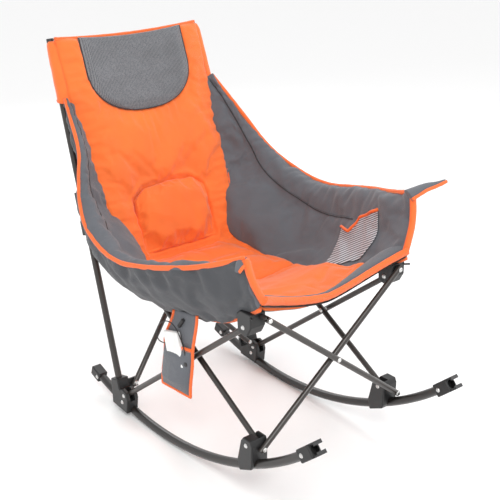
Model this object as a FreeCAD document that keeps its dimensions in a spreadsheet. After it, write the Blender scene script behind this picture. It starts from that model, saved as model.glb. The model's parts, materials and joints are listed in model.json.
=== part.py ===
import FreeCAD, Part
import math
import os
import Sketcher
from FreeCAD import Placement, Rotation, Vector

# Folding camp rocking chair. Millimetres, +Z up, the sitter faces -Y and +X is the sitter's left.
# The origin is on the floor under the middle of the chair. The rails touch the floor at y = floor_line_y.

doc = FreeCAD.newDocument("camp_rocking_chair")

# ---------------------------------------------------------------- driving dimensions
SIZES = {
    # rocker rails, a circular arc of tube
    "floor_line_y": 121.8,
    "rail_track": 245.0,
    "rail_arc_radius": 1001.0,
    "rail_tube_radius": 12.5,
    "rail_wall": 1.5,
    "rail_front_angle": 41.6,
    "rail_rear_angle": 18.0,
    "rail_flat_depth": 0.6,
    # rear posts
    "post_track": 252.0,
    "post_radius": 10.0,
    "post_wall": 1.6,
    "post_foot_y": 163.0,
    "post_foot_height": 45.0,
    "post_lean": 15.9,
    "post_length": 1072.0,
    # crossing arms
    "arm_radius": 8.0,
    "arm_wall": 1.2,
    "arm_tail": 10.0,
    "side_arm_angle": 38.13,
    "side_link_angle": 30.0,
    "side_arm_track": 252.0,
    "side_link_track": 229.0,
    "rear_pivot_y": 126.4,
    "rear_pivot_height": 68.5,
    "side_arm_span": 726.4,
    "side_cross_distance": 418.5,
    "foot_pivot_y": -452.0,
    "foot_pivot_height": 183.0,
    "side_link_span": 904.3,
    "foot_to_cross": 287.8,
    "foot_rail_angle": 26.5,
    "front_arm_track": 236.0,
    "front_low_height": 178.0,
    "front_high_height": 548.0,
    "front_arm_rear_y": -484.0,
    "front_arm_fore_y": -502.0,
    "front_shank_end": -464.0,
    "back_arm_track": 216.0,
    "back_low_reach": 36.0,
    "back_arm_span": 655.0,
    "back_arm_near": 28.0,
    "back_arm_far": 46.0,
    # rivets and their holes
    "rivet_radius": 3.0,
    "rivet_hole_radius": 3.08,
    "rivet_head_radius": 6.5,
    "rivet_head_top": 4.2,
    "rivet_head_height": 2.4,
    # moulded connectors
    "housing_width": 40.0,
    "housing_track": 251.0,
    "clamp_y": 136.0,
    "clamp_height": 43.0,
    "slot_width": 17.0,
    "foot_width": 54.0,
    "foot_track": 240.0,
    "corner_width": 48.0,
    "corner_track": 246.0,
    "rail_gap": 0.9,
    "slider_bore": 10.1,
    "slider_length": 44.0,
    "slider_width": 28.5,
    "slider_depth": 32.0,
    "slider_wall": 3.2,
    "lug_thickness": 8.5,
    "lug_offset": 11.0,
    "lug_height": 30.0,
    "lug_width": 50.0,
    "prong_radius": 2.6,
    "prong_length": 24.0,
    "prong_foot_x": 264.0,
    "prong_foot_y": -468.0,
    "prong_foot_height": 550.0,
    "stop_length": 54.0,
    "stop_width": 34.0,
    "stop_height": 36.0,
    "tongue_length": 26.0,
    "tongue_width": 26.0,
    "tongue_thickness": 4.0,
    "cap_length": 46.0,
    "cap_width": 32.0,
    "edge_round": 4.0,
    "plug_height": 12.0,
    # padded back
    "back_lean": 21.25,
    "back_foot_y": 198.0,
    "back_foot_height": 430.0,
    "back_height": 693.0,
    "back_half_width": 238.0,
    "back_half_waist": 200.0,
    "liner_thickness": 2.0,
    "film_thickness": 1.0,
    "pad_thickness": 21.7,
    "headrest_half_width": 178.0,
    "headrest_drop": 232.0,
    "headrest_thickness": 9.0,
    "lumbar_width": 240.0,
    "lumbar_height": 196.0,
    "lumbar_thickness": 9.0,
    "lumbar_low": 24.0,
    "back_film_width": 220.0,
    "back_film_height": 260.0,
    # seat
    "seat_width": 400.0,
    "seat_pad_thickness": 24.0,
    "seat_rear_y": 170.0,
    "seat_fold_y": -110.0,
    "seat_height": 432.0,
    "seat_front_length": 312.0,
    "seat_front_slope": 11.56,
    "seat_film_width": 260.0,
    "seat_film_length": 220.0,
    "hem_width": 436.0,
    "hem_depth": 20.0,
    "hem_height": 24.0,
    "hem_y": -434.0,
    "hem_centre_height": 503.0,
    "wing_thickness": 11.0,
    # hanging pocket and what it holds
    "pocket_track": 272.0,
    "pocket_sheet": 2.4,
    "pocket_room": 20.0,
    "bank_width": 66.0,
    "bank_height": 100.0,
    "bank_thickness": 15.0,
    "bank_round": 5.0,
    "bank_lean": 16.0,
    "port_height": 12.0,
    "bank_y": -172.0,
    "bank_middle_height": 354.0,
    "lead_radius": 1.5,
    "plug_length": 8.0,
    "plug_width": 7.0,
    "connector_width": 9.0,
    "connector_length": 34.0,
    "connector_gap": 0.3,
    "connector_y": -198.0,
    "connector_height": 438.0,
    "gland_depth": 15.0,
    "gland_width": 12.0,
    "gland_height": 10.0,
    "mesh_thickness": 2.0,
}

# Side outlines of the moulded connectors, as (y, z) from the rails' floor line.
HOUSING_OUTLINE = [(192, 18), (112, 12), (106, 60), (113, 82), (134, 88), (150, 80), (159, 110), (197, 100)]
FOOT_OUTLINE = [
    (-470, 118), (-424, 96), (-416, 128), (-430, 190),
    (-440, 203), (-470, 203), (-476, 190), (-476, 130),
]
CORNER_OUTLINE = [(-424, 500), (-420, 548), (-434, 560), (-475, 560), (-475, 524), (-462, 500), (-448, 494)]

sizes = doc.addObject("Spreadsheet::Sheet", "Sizes")
for row, (alias, value) in enumerate(SIZES.items(), start=1):
    sizes.set(f"A{row}", alias)
    sizes.set(f"B{row}", str(value))
    sizes.setAlias(f"B{row}", alias)
doc.recompute()

X_AXIS = Vector(1, 0, 0)
Y_AXIS = Vector(0, 1, 0)
Z_AXIS = Vector(0, 0, 1)
SIDES = {"r": -1, "l": 1}
nodes = []


def value(expression):
    """The number that an expression over the sheet's aliases has now."""
    result = sizes.evalExpression(expression)
    return float(getattr(result, "Value", result))


def bind(item, name, expression):
    """Binds a property to an expression whose names are the sheet's aliases."""
    words = []
    word = ""
    for letter in expression + " ":
        if letter.isalnum() or letter == "_":
            word += letter
            continue
        words.append("Sizes." + word if word in SIZES else word)
        words.append(letter)
        word = ""
    item.setExpression(name, "".join(words).strip())


def at(x, y, z):
    """A point given from the rails' floor line, in the chair's own frame."""
    return Vector(x, value("floor_line_y") + y, z)


def finish(item, label):
    """Keeps an object as a sub-part: its label is its node's name."""
    item.Label = label
    nodes.append(item)
    return item


# ---------------------------------------------------------------- shared builders
def cylinder(name, radius, height, centre, rotation=Rotation()):
    """A solid cylinder, centred on a point, along its rotation's Z."""
    item = doc.addObject("Part::Cylinder", name)
    bind(item, "Radius", radius)
    bind(item, "Height", height)
    shift = rotation.multVec(Vector(0, 0, -value(height) / 2))
    item.Placement = Placement(centre + shift, rotation)
    return item


def box(name, length, width, height, centre, rotation=Rotation()):
    """A box, centred on a point."""
    item = doc.addObject("Part::Box", name)
    bind(item, "Length", length)
    bind(item, "Width", width)
    bind(item, "Height", height)
    half = Vector(value(length) / 2, value(width) / 2, value(height) / 2)
    item.Placement = Placement(centre - rotation.multVec(half), rotation)
    return item


def fuse(name, shapes):
    item = doc.addObject("Part::MultiFuse", name)
    item.Shapes = shapes
    return item


def cut(name, base, tools):
    item = doc.addObject("Part::Cut", name)
    item.Base = base
    item.Tool = tools[0] if len(tools) == 1 else fuse(name + "_tools", tools)
    return item


def rounded(name, base, radius, chosen):
    """A copy of base whose chosen edges are rounded. chosen takes an edge and says whether it is one."""
    doc.recompute()
    item = doc.addObject("Part::Fillet", name)
    item.Base = base
    size = value(radius)
    item.Edges = [(i, size, size) for i, edge in enumerate(base.Shape.Edges, start=1) if chosen(edge)]
    return item


def plane(body, role):
    return next(item for item in body.Origin.OriginFeatures if item.Role == role)


def sketch_on(body, role, name):
    sketch = body.newObject("Sketcher::SketchObject", name)
    sketch.AttachmentSupport = [(plane(body, role), "")]
    sketch.MapMode = "FlatFace"
    return sketch


def add_circle(sketch, x, y, radius):
    """A circle whose radius is bound to an expression."""
    index = sketch.addGeometry(Part.Circle(Vector(x, y, 0), Z_AXIS, value(radius)), False)
    constraint = sketch.addConstraint(Sketcher.Constraint("Radius", index, value(radius)))
    bind(sketch, f"Constraints[{constraint}]", radius)
    if x == 0 and y == 0:
        sketch.addConstraint(Sketcher.Constraint("Coincident", index, 3, -1, 1))


def add_outline(sketch, points):
    """A closed outline of straight edges."""
    first = None
    count = len(points)
    for i, (start, end) in enumerate(zip(points, points[1:] + points[:1])):
        line = Part.LineSegment(Vector(*start, 0), Vector(*end, 0))
        index = sketch.addGeometry(line, False)
        first = index if i == 0 else first
    for i in range(count):
        after = first + (i + 1) % count
        sketch.addConstraint(Sketcher.Constraint("Coincident", first + i, 2, after, 1))


def pad(body, sketch, length, name, midplane=False):
    feature = body.newObject("PartDesign::Pad", name)
    feature.Profile = sketch
    bind(feature, "Length", length)
    feature.Midplane = midplane
    body.Tip = feature
    return feature


def tube(label, radius, wall, length, start, rotation, holes=(), hole_plane="YZ_Plane", kept=True):
    """A round tube along its own Z from start, with rivet holes across it at the given distances."""
    body = doc.addObject("PartDesign::Body", label)
    ring = sketch_on(body, "XY_Plane", label + "_ring")
    add_circle(ring, 0, 0, radius)
    add_circle(ring, 0, 0, f"{radius} - {wall}")
    pad(body, ring, length, label + "_tube")
    if holes:
        across = sketch_on(body, hole_plane, label + "_rivet_holes")
        for distance in holes:
            add_circle(across, 0, distance, "rivet_hole_radius")
        doc.recompute()
        before = body.Shape.Volume
        pocket = body.newObject("PartDesign::Pocket", label + "_drilled")
        pocket.Profile = across
        pocket.Type = "ThroughAll"
        pocket.Midplane = True
        body.Tip = pocket
        doc.recompute()
        if body.Shape.Volume >= before:
            raise RuntimeError(label + ": the rivet holes cut nothing")
    body.Placement = Placement(start, rotation)
    return finish(body, label) if kept else body


def profile_block(name, outline, width, x):
    """A block with a side outline in (y, z) from the floor line, padded across X about x."""
    body = doc.addObject("PartDesign::Body", name)
    side = sketch_on(body, "YZ_Plane", name + "_side")
    add_outline(side, [(value("floor_line_y") + y, z) for y, z in outline])
    pad(body, side, width, name + "_pad", midplane=True)
    body.Placement = Placement(Vector(x, 0, 0), Rotation())
    return body


def rivet_head(name, place, rotation):
    """A domed head standing on a surface, along its rotation's Z."""
    head = doc.addObject("Part::Cone", name)
    bind(head, "Radius1", "rivet_head_radius")
    bind(head, "Radius2", "rivet_head_top")
    bind(head, "Height", "rivet_head_height")
    head.Placement = Placement(place, rotation)
    return head


def rivet(name, centre, rotation, grip):
    """A rivet with two heads: grip is the distance between the heads."""
    half = rotation.multVec(Vector(0, 0, value(grip) / 2))
    shank = cylinder(name + "_shank", "rivet_radius", grip, centre, rotation)
    head = rivet_head(name + "_head", centre + half, rotation)
    tail = rivet_head(name + "_tail", centre - half, rotation.multiply(Rotation(X_AXIS, 180)))
    return fuse(name, [shank, head, tail])


def short_rivet(name, centre, rotation):
    """A rivet that stays in one arm: headed on its rotation's -Z side, and flush on the other."""
    shank = cylinder(name + "_shank", "rivet_radius", "2 * arm_radius", centre, rotation)
    surface = centre - rotation.multVec(Vector(0, 0, value("arm_radius")))
    head = rivet_head(name + "_head", surface, rotation.multiply(Rotation(X_AXIS, 180)))
    return fuse(name, [shank, head])


def group(label, items):
    """Several separate solids kept as one node."""
    item = doc.addObject("Part::Compound", label)
    item.Links = items
    return finish(item, label)


# ---------------------------------------------------------------- directions and pivots
ACROSS = Rotation(Y_AXIS, 90)
ALONG_Y = Rotation(X_AXIS, -90)
FACING_Y = Rotation(X_AXIS, 90)
post_turn = Rotation(X_AXIS, -value("post_lean"))
post_direction = post_turn.multVec(Z_AXIS)
post_forward = post_turn.multVec(Vector(0, -1, 0))
FACING_FORWARD = post_turn.multiply(Rotation(X_AXIS, 90))
FACING_REAR = post_turn.multiply(Rotation(X_AXIS, -90))


def post_point(x, reach, offset=0.0):
    """A point beside a post: reach is up along it, offset is forward of its centreline."""
    foot = at(x, value("post_foot_y"), value("post_foot_height"))
    return foot + post_direction * reach + post_forward * offset


def lift(angle_deg, distance, start):
    """A point up and forward of start in the side plane."""
    angle = math.radians(angle_deg)
    return start + Vector(0, -math.cos(angle) * distance, math.sin(angle) * distance)


def rear_pivot(x):
    return at(x, value("rear_pivot_y"), value("rear_pivot_height"))


def foot_pivot(x):
    return at(x, value("foot_pivot_y"), value("foot_pivot_height"))


def side_cross(x):
    return lift(value("side_arm_angle"), value("side_cross_distance"), rear_pivot(x))


def corner_pivot(x):
    return lift(value("side_arm_angle"), value("side_arm_span"), rear_pivot(x))


def slider_pivot(x):
    return lift(180 - value("side_link_angle"), value("side_link_span"), foot_pivot(x))


# Each rail is ground flat where it stands, a short length that lets the empty chair stand still.
RAIL_CENTRE = "rail_arc_radius + rail_tube_radius - rail_flat_depth"


def rail_point(x, angle_deg, rise=0.0):
    """A point at an angle forward of the rail's lowest point: rise is towards the arc's centre."""
    angle = math.radians(angle_deg)
    radius = value("rail_arc_radius") - rise
    return at(x, -math.sin(angle) * radius, value(RAIL_CENTRE) - math.cos(angle) * radius)


def rail_turn(angle_deg):
    """Local Y points rearwards along the rail and local Z towards the arc's centre."""
    return Rotation(X_AXIS, -angle_deg)


BACK_RISE = math.sqrt(value("back_arm_span") ** 2 - (2 * value("back_arm_track")) ** 2)
BACK_ANGLE = math.degrees(math.asin(BACK_RISE / value("back_arm_span")))
FRONT_RISE = value("front_high_height") - value("front_low_height")
FRONT_SPAN = math.hypot(FRONT_RISE, 2 * value("front_arm_track"))
FRONT_ANGLE = math.degrees(math.asin(FRONT_RISE / FRONT_SPAN))


# ---------------------------------------------------------------- frame, one side at a time
def rocker_rail(side, sign):
    label = f"rocker_rail_{side}"
    body = doc.addObject("PartDesign::Body", label + "_tube")
    section = sketch_on(body, "XZ_Plane", label + "_section")
    add_circle(section, 0, -value("rail_arc_radius"), "rail_tube_radius")
    add_circle(section, 0, -value("rail_arc_radius"), "rail_tube_radius - rail_wall")
    bend = body.newObject("PartDesign::Revolution", label + "_bend")
    bend.Profile = section
    bend.ReferenceAxis = (section, ["H_Axis"])
    bind(bend, "Angle", "rail_front_angle + rail_rear_angle")
    bend.Midplane = True
    body.Tip = bend
    middle = (value("rail_front_angle") - value("rail_rear_angle")) / 2
    x = sign * value("rail_track")
    body.Placement = Placement(at(x, 0, value(RAIL_CENTRE)), Rotation(X_AXIS, -middle))
    depth = "rail_tube_radius"
    below = box(label + "_floor", "rail_tube_radius * 2", "rail_tube_radius * 8", depth, at(x, 0, -value(depth) / 2))
    finish(cut(label + "_on_floor", body, [below]), label)


def rail_tool(name, x, gap):
    """The space that a rail fills, for cutting a socket or saddle."""
    item = doc.addObject("Part::Torus", name)
    bind(item, "Radius1", "rail_arc_radius")
    bind(item, "Radius2", f"rail_tube_radius + {gap}")
    item.Placement = Placement(at(x, 0, value(RAIL_CENTRE)), ACROSS)
    return item


def rail_ends(side, sign):
    """The rear cap, and the front stop with its two tongues, each riveted to the rail."""
    x = sign * value("rail_track")
    rear = -value("rail_rear_angle")
    turn = rail_turn(rear)
    body = box(f"rear_cap_block_{side}", "cap_width", "cap_length", "cap_width", rail_point(x, rear), turn)
    soft = rounded(f"rear_cap_soft_{side}", body, "edge_round", lambda edge: True)
    cap = cut(f"rear_cap_{side}", soft, [rail_tool(f"rear_cap_socket_{side}", x, 0)])
    end_plug = rail_end_fill(f"rear_cap_fill_{side}", x, rear, -1)
    finish(fuse(f"rail_rear_cap_{side}", [cap, end_plug]), f"rail_rear_cap_{side}")
    front = value("rail_front_angle")
    turn = rail_turn(front)
    centre = rail_point(x, front)
    body = box(f"stop_block_{side}", "stop_width", "stop_length", "stop_height", centre, turn)
    soft = rounded(f"stop_soft_{side}", body, "edge_round", lambda edge: True)
    stop = cut(f"stop_{side}", soft, [rail_tool(f"stop_socket_{side}", x, 0)])
    fill = rail_end_fill(f"stop_fill_{side}", x, front, 1)
    parts = [stop, fill]
    reach = value("tongue_thickness") - value("stop_length + tongue_length") / 2
    for name, level in (("upper", 0.5), ("lower", -0.5)):
        rise = level * (value("stop_height") - value("tongue_thickness"))
        place = centre + turn.multVec(Vector(0, reach, rise))
        thin = "tongue_thickness"
        parts.append(box(f"tongue_{name}_{side}", "tongue_width", "tongue_length", thin, place, turn))
        tip = value("tongue_thickness / 2 - tongue_length / 2")
        hook = place + turn.multVec(Vector(0, tip, -2 * level * value(thin)))
        parts.append(box(f"hook_{name}_{side}", "tongue_width", thin, "tongue_thickness * 2", hook, turn))
    finish(fuse(f"rail_front_stop_{side}", parts), f"rail_front_stop_{side}")
    heads = []
    for name, angle, width in (("rear", rear + 0.75, "cap_width"), ("front", front - 0.75, "stop_width")):
        centre = rail_point(x, angle)
        for face in (-1, 1):
            surface = centre + Vector(face * value(width) / 2, 0, 0)
            label = f"rail_{name}_head_{'out' if face > 0 else 'in'}_{side}"
            heads.append(rivet_head(label, surface, Rotation(Y_AXIS, 90 * face)))
    return heads


def rail_end_fill(name, x, angle, way):
    """The wall that closes a rail's socket, flush with the end of the tube."""
    turn = rail_turn(angle)
    centre = rail_point(x, angle) + turn.multVec(Vector(0, -way * value("plug_height") / 2, 0))
    radius = "rail_tube_radius + edge_round / 8"
    return cylinder(name, radius, "plug_height", centre, turn.multiply(FACING_Y))


def rear_post(side, sign):
    x = sign * value("post_track")
    tube(f"rear_post_{side}", "post_radius", "post_wall", "post_length", post_point(x, 0), post_turn)
    top = post_point(x, value("post_length") + value("plug_height") / 2)
    label = f"post_plug_{side}"
    finish(cylinder(label, "post_radius", "plug_height", top, post_turn), label)


def lug(name, sign, reach, far):
    """A plate just forward of a post that carries a rear cross arm's pivot, with a boss for the far arm."""
    x = sign * (value("back_arm_track") + 11)
    place = post_point(x, reach, value("lug_offset + lug_thickness / 2"))
    plate = box(name + "_plate", "lug_width", "lug_thickness", "lug_height", place, post_turn)
    if not far:
        return [plate]
    depth = "back_arm_far - arm_radius - lug_offset - lug_thickness"
    middle = value("lug_offset + lug_thickness") + value(depth) / 2
    pivot = post_point(sign * value("back_arm_track"), reach, middle)
    return [plate, cylinder(name + "_boss", "rivet_head_radius + 1.5", depth, pivot, FACING_FORWARD)]


def rear_housing(side, sign):
    """The moulding that clamps the rail and the post and carries the side arm and the rear cross arm."""
    x = sign * value("housing_track")
    name = f"rear_housing_{side}"
    block = profile_block(name + "_block", HOUSING_OUTLINE, "housing_width", x)
    soft = rounded(name + "_soft", block, "edge_round", lambda edge: edge.Length > value("edge_round") * 2)
    reach = value("back_low_reach")
    solid = fuse(name + "_solid", [soft] + lug(name + "_lug", sign, reach, side == "l"))
    post_x = sign * value("post_track")
    through = "housing_width * 2"
    post_middle = post_point(post_x, 100)
    socket = cylinder(name + "_post_socket", "post_radius", "4 * lug_width", post_middle, post_turn)
    rail_socket = rail_tool(name + "_rail", sign * value("rail_track"), 0)
    pivot = rear_pivot(sign * value("side_arm_track"))
    slot = box(name + "_slot", "slot_width", "slot_width * 2.9", "slot_width * 5", pivot + Vector(0, -9, 27))
    arm_hole = cylinder(name + "_arm_hole", "rivet_radius", through, pivot, ACROSS)
    clamp_hole = cylinder(name + "_clamp_hole", "rivet_radius", through, bolt_place(sign), ACROSS)
    lug_pivot = post_point(sign * value("back_arm_track"), reach, value("lug_offset"))
    lug_hole = cylinder(name + "_lug_hole", "rivet_radius", through, lug_pivot, FACING_FORWARD)
    finish(cut(name, solid, [socket, rail_socket, slot, arm_hole, clamp_hole, lug_hole]), name)


def bolt_place(sign):
    """Where the clamp rivet crosses the housing, between the post's foot and the rail."""
    return at(sign * value("housing_track"), value("clamp_y"), value("clamp_height"))


def rear_rivets(side, sign, rail_heads):
    """The rivets of the side arm, the rail clamp, the rear cross arm and the rail's two ends."""
    x = sign * value("housing_track")
    name = f"rear_rivets_{side}"
    pivot = rear_pivot(x)
    arm = rivet(name + "_arm", pivot, ACROSS, "housing_width")
    clamp = rivet(name + "_clamp", bolt_place(sign), ACROSS, "housing_width")
    outer = "back_arm_near" if side == "r" else "back_arm_far"
    grip = f"{outer} + arm_radius - lug_offset"
    middle = (value(outer) + value("arm_radius") + value("lug_offset")) / 2
    centre = post_point(sign * value("back_arm_track"), value("back_low_reach"), middle)
    cross = rivet(name + "_cross", centre, FACING_FORWARD, grip)
    group(name, [arm, clamp, cross] + rail_heads)


def side_arms(side, sign):
    """The two crossing arms of one side, with the rivet where they cross and the link's top rivet."""
    tail = value("arm_tail")
    arm_x = sign * value("side_arm_track")
    arm_turn = Rotation(X_AXIS, 90 - value("side_arm_angle"))
    start = lift(value("side_arm_angle"), -tail, rear_pivot(arm_x))
    holes = [tail, tail + value("side_cross_distance"), tail + value("side_arm_span")]
    length = "side_arm_span + 2 * arm_tail"
    tube(f"side_arm_{side}", "arm_radius", "arm_wall", length, start, arm_turn, holes)
    link_x = sign * value("side_link_track")
    link_turn = Rotation(X_AXIS, value("side_link_angle") - 90)
    start = lift(180 - value("side_link_angle"), -tail, foot_pivot(link_x))
    holes = [tail, tail + value("foot_to_cross"), tail + value("side_link_span")]
    length = "side_link_span + 2 * arm_tail"
    tube(f"side_link_{side}", "arm_radius", "arm_wall", length, start, link_turn, holes)
    inner = value("side_link_track") - value("arm_radius")
    outer = value("side_arm_track") + value("arm_radius")
    middle = side_cross(sign * (inner + outer) / 2)
    grip = "side_arm_track - side_link_track + 2 * arm_radius"
    crossing = rivet(f"side_cross_rivet_{side}", middle, ACROSS, grip)
    top = short_rivet(f"link_top_rivet_{side}", slider_pivot(link_x), Rotation(Y_AXIS, 90 * sign))
    group(f"side_link_rivets_{side}", [crossing, top])


def front_boss(name, x, height):
    """The boss on a connector's front face that holds the foremost of the two front arms off it."""
    depth = "front_arm_rear_y - front_arm_fore_y"
    y = value("front_arm_rear_y + arm_radius") - value(depth) / 2
    return cylinder(name, "rivet_head_radius + 1.5", depth, at(x, y, height), ALONG_Y)


def front_foot(side, sign):
    """The foot that sits astride a rail and carries the side link and a front cross arm."""
    x = sign * value("foot_track")
    name = f"front_foot_{side}"
    block = profile_block(name + "_block", FOOT_OUTLINE, "foot_width", x)
    outer = rounded(name + "_soft", block, "edge_round", lambda edge: edge.Length > value("edge_round") * 2)
    front_x = sign * value("front_arm_track")
    height = value("front_low_height")
    far = side == "l"
    if far:
        outer = fuse(name + "_outer", [outer, front_boss(name + "_boss", front_x, height)])
    angle = value("foot_rail_angle")
    seat = rail_point(sign * value("rail_track"), angle)
    turn = rail_turn(angle)
    through = "foot_width * 3"
    saddle = cylinder(name + "_saddle", "rail_tube_radius + rail_gap", through, seat, turn.multiply(FACING_Y))
    lower = seat - turn.multVec(Vector(0, 0, value("foot_width") / 2))
    below = box(name + "_below", "2 * (rail_tube_radius + rail_gap)", through, "foot_width", lower, turn)
    pivot = foot_pivot(sign * value("side_link_track"))
    slot = box(name + "_slot", "slot_width", "slot_width * 4", "slot_width * 3.1", pivot + Vector(0, 17, 9.4))
    link_hole = cylinder(name + "_link_hole", "rivet_radius", through, pivot, ACROSS)
    bore = doc.addObject("Part::Cylinder", name + "_front_hole")
    bind(bore, "Radius", "rivet_radius")
    bind(bore, "Height", "foot_width * 2")
    bore.Placement = Placement(at(front_x, value("front_shank_end"), height), FACING_Y)
    finish(cut(name, outer, [saddle, below, slot, link_hole, bore]), name)
    link_rivet = rivet(f"{name}_link_rivet", foot_pivot(x), ACROSS, "foot_width")
    arm_rivet = front_arm_rivet(f"{name}_arm_rivet", front_x, height, far)
    group(f"foot_rivets_{side}", [link_rivet, arm_rivet])


def front_arm_rivet(name, x, height, far):
    """A rivet from a foot's front face through a front cross arm, headed on the arm only."""
    face = value("front_arm_fore_y" if far else "front_arm_rear_y") - value("arm_radius")
    shank = doc.addObject("Part::Cylinder", name + "_shank")
    bind(shank, "Radius", "rivet_radius")
    shank.Height = value("front_shank_end") - face
    shank.Placement = Placement(at(x, value("front_shank_end"), height), FACING_Y)
    return fuse(name, [shank, rivet_head(name + "_head", at(x, face, height), FACING_Y)])


def seat_corner(side, sign):
    """The connector at a front corner of the seat: side arm behind, front cross arm ahead."""
    x = sign * value("corner_track")
    name = f"seat_corner_{side}"
    block = profile_block(name + "_block", CORNER_OUTLINE, "corner_width", x)
    soft = rounded(name + "_soft", block, "edge_round", lambda edge: edge.Length > value("edge_round") * 2)
    prong_foot = at(sign * value("prong_foot_x"), value("prong_foot_y"), value("prong_foot_height"))
    prong_turn = Rotation(X_AXIS, 78).multiply(Rotation(Y_AXIS, sign * 28))
    parts = [soft, cylinder(name + "_prong", "prong_radius", "prong_length * 2", prong_foot, prong_turn)]
    if side == "r":
        parts.append(front_boss(name + "_boss", sign * value("front_arm_track"), value("front_high_height")))
    solid = fuse(name + "_solid", parts)
    pivot = corner_pivot(sign * value("side_arm_track"))
    slot = box(name + "_slot", "slot_width", "slot_width * 3.6", "slot_width * 4", pivot + Vector(0, 15, -15))
    hole = cylinder(name + "_arm_hole", "rivet_radius", "corner_width * 2", pivot, ACROSS)
    finish(cut(name, solid, [slot, hole]), name)
    label = f"corner_rivet_{side}"
    finish(rivet(label, corner_pivot(x), ACROSS, "corner_width"), label)


def front_cross_arm(side, sign, arm_y):
    """A front arm from one foot up to the opposite seat corner. Its rivet joins the pair where they cross."""
    tail = value("arm_tail")
    turn = Rotation(Y_AXIS, -sign * (90 - FRONT_ANGLE))
    foot = at(sign * value("front_arm_track"), value(arm_y), value("front_low_height"))
    start = foot - turn.multVec(Z_AXIS) * tail
    length = f"{FRONT_SPAN} + 2 * arm_tail"
    holes = [tail, tail + FRONT_SPAN / 2, tail + FRONT_SPAN]
    tube(f"front_arm_{side}", "arm_radius", "arm_wall", length, start, turn, holes, hole_plane="XZ_Plane")


def back_cross_arm(side, sign, offset):
    """A rear arm from one housing up to the opposite sliding collar, in a plane parallel to the posts."""
    tail = value("arm_tail")
    turn = post_turn.multiply(Rotation(Y_AXIS, -sign * (90 - BACK_ANGLE)))
    foot = post_point(sign * value("back_arm_track"), value("back_low_reach"), value(offset))
    start = foot - turn.multVec(Z_AXIS) * tail
    holes = [tail, tail + value("back_arm_span") / 2, tail + value("back_arm_span")]
    length = "back_arm_span + 2 * arm_tail"
    tube(f"back_arm_{side}", "arm_radius", "arm_wall", length, start, turn, holes, hole_plane="XZ_Plane")


def cross_rivets():
    """The short rivets at the middle and top of the front and rear crosses. Each stays in one arm."""
    middle_height = (value("front_low_height") + value("front_high_height")) / 2
    for side, sign in SIDES.items():
        arm_y = value("front_arm_rear_y" if side == "r" else "front_arm_fore_y")
        top_x = -sign * value("front_arm_track")
        top = at(top_x, arm_y, value("front_high_height"))
        rivets = [short_rivet(f"front_top_{side}", top, ALONG_Y)]
        if side == "l":
            rivets.append(short_rivet("front_middle", at(0, arm_y, middle_height), ALONG_Y))
        group(f"front_arm_rivets_{side}", rivets)
        offset = value("back_arm_near" if side == "r" else "back_arm_far")
        reach = value("back_low_reach") + BACK_RISE
        top = post_point(-sign * value("back_arm_track"), reach, offset)
        rivets = [short_rivet(f"back_top_{side}", top, FACING_REAR)]
        if side == "l":
            middle = post_point(0, value("back_low_reach") + BACK_RISE / 2, offset)
            rivets.append(short_rivet("back_middle", middle, FACING_REAR))
        group(f"back_arm_rivets_{side}", rivets)


def side_slider(side, sign):
    """The collar that the side link pushes up the post, with two prongs that hold the fabric's edge."""
    x = sign * value("post_track")
    name = f"side_slider_{side}"
    pivot = slider_pivot(x)
    width = value("slider_width")
    inner_face = value("post_track - slider_bore - slider_wall")
    middle = Vector(sign * (inner_face + width / 2), pivot.y, pivot.z)
    block = box(name + "_block", "slider_width", "slider_depth", "slider_length", middle, post_turn)
    soft = rounded(name + "_soft", block, "edge_round / 2", lambda edge: True)
    parts = [soft]
    for number, level in enumerate((-10, 12)):
        foot = middle + post_turn.multVec(Vector(0, value("slider_depth") / 2 + 8, level))
        parts.append(cylinder(f"{name}_prong_{number}", "prong_radius", "prong_length", foot, FACING_FORWARD))
    solid = fuse(name + "_solid", parts)
    bore = cylinder(name + "_bore", "slider_bore", "slider_length * 2", pivot, post_turn)
    finish(cut(name, solid, [bore]), name)


def back_slider(side, sign):
    """The collar that carries the top of the opposite rear cross arm."""
    x = sign * value("post_track")
    name = f"back_slider_{side}"
    reach = value("back_low_reach") + BACK_RISE
    inner_face = value("post_track - slider_bore - slider_wall")
    middle = post_point(sign * (inner_face + value("slider_width") / 2), reach)
    block = box(name + "_block", "slider_width", "slider_depth", "slider_length", middle, post_turn)
    soft = rounded(name + "_soft", block, "edge_round / 2", lambda edge: True)
    solid = fuse(name + "_solid", [soft] + lug(name + "_lug", sign, reach, side == "r"))
    bore = cylinder(name + "_bore", "slider_bore", "slider_length * 2", post_point(x, reach), post_turn)
    finish(cut(name, solid, [bore]), name)


# ---------------------------------------------------------------- soft parts
back_turn = Rotation(X_AXIS, -value("back_lean"))
back_forward = back_turn.multVec(Vector(0, -1, 0))


def back_point(x, up, offset=0.0):
    """A point on the padded back: up along it from its foot, offset forward of its rear face."""
    foot = at(x, value("back_foot_y"), value("back_foot_height"))
    return foot + back_turn.multVec(Z_AXIS) * up + back_forward * offset


def back_sheet(label, outline, thickness, offset):
    """A flat layer of the back: outline in (x, up), padded forward from offset."""
    body = doc.addObject("PartDesign::Body", label)
    face = sketch_on(body, "XZ_Plane", label + "_outline")
    add_outline(face, outline)
    pad(body, face, thickness, label + "_pad")
    body.Placement = Placement(back_point(0, 0, offset), back_turn)
    finish(body, label)


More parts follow.
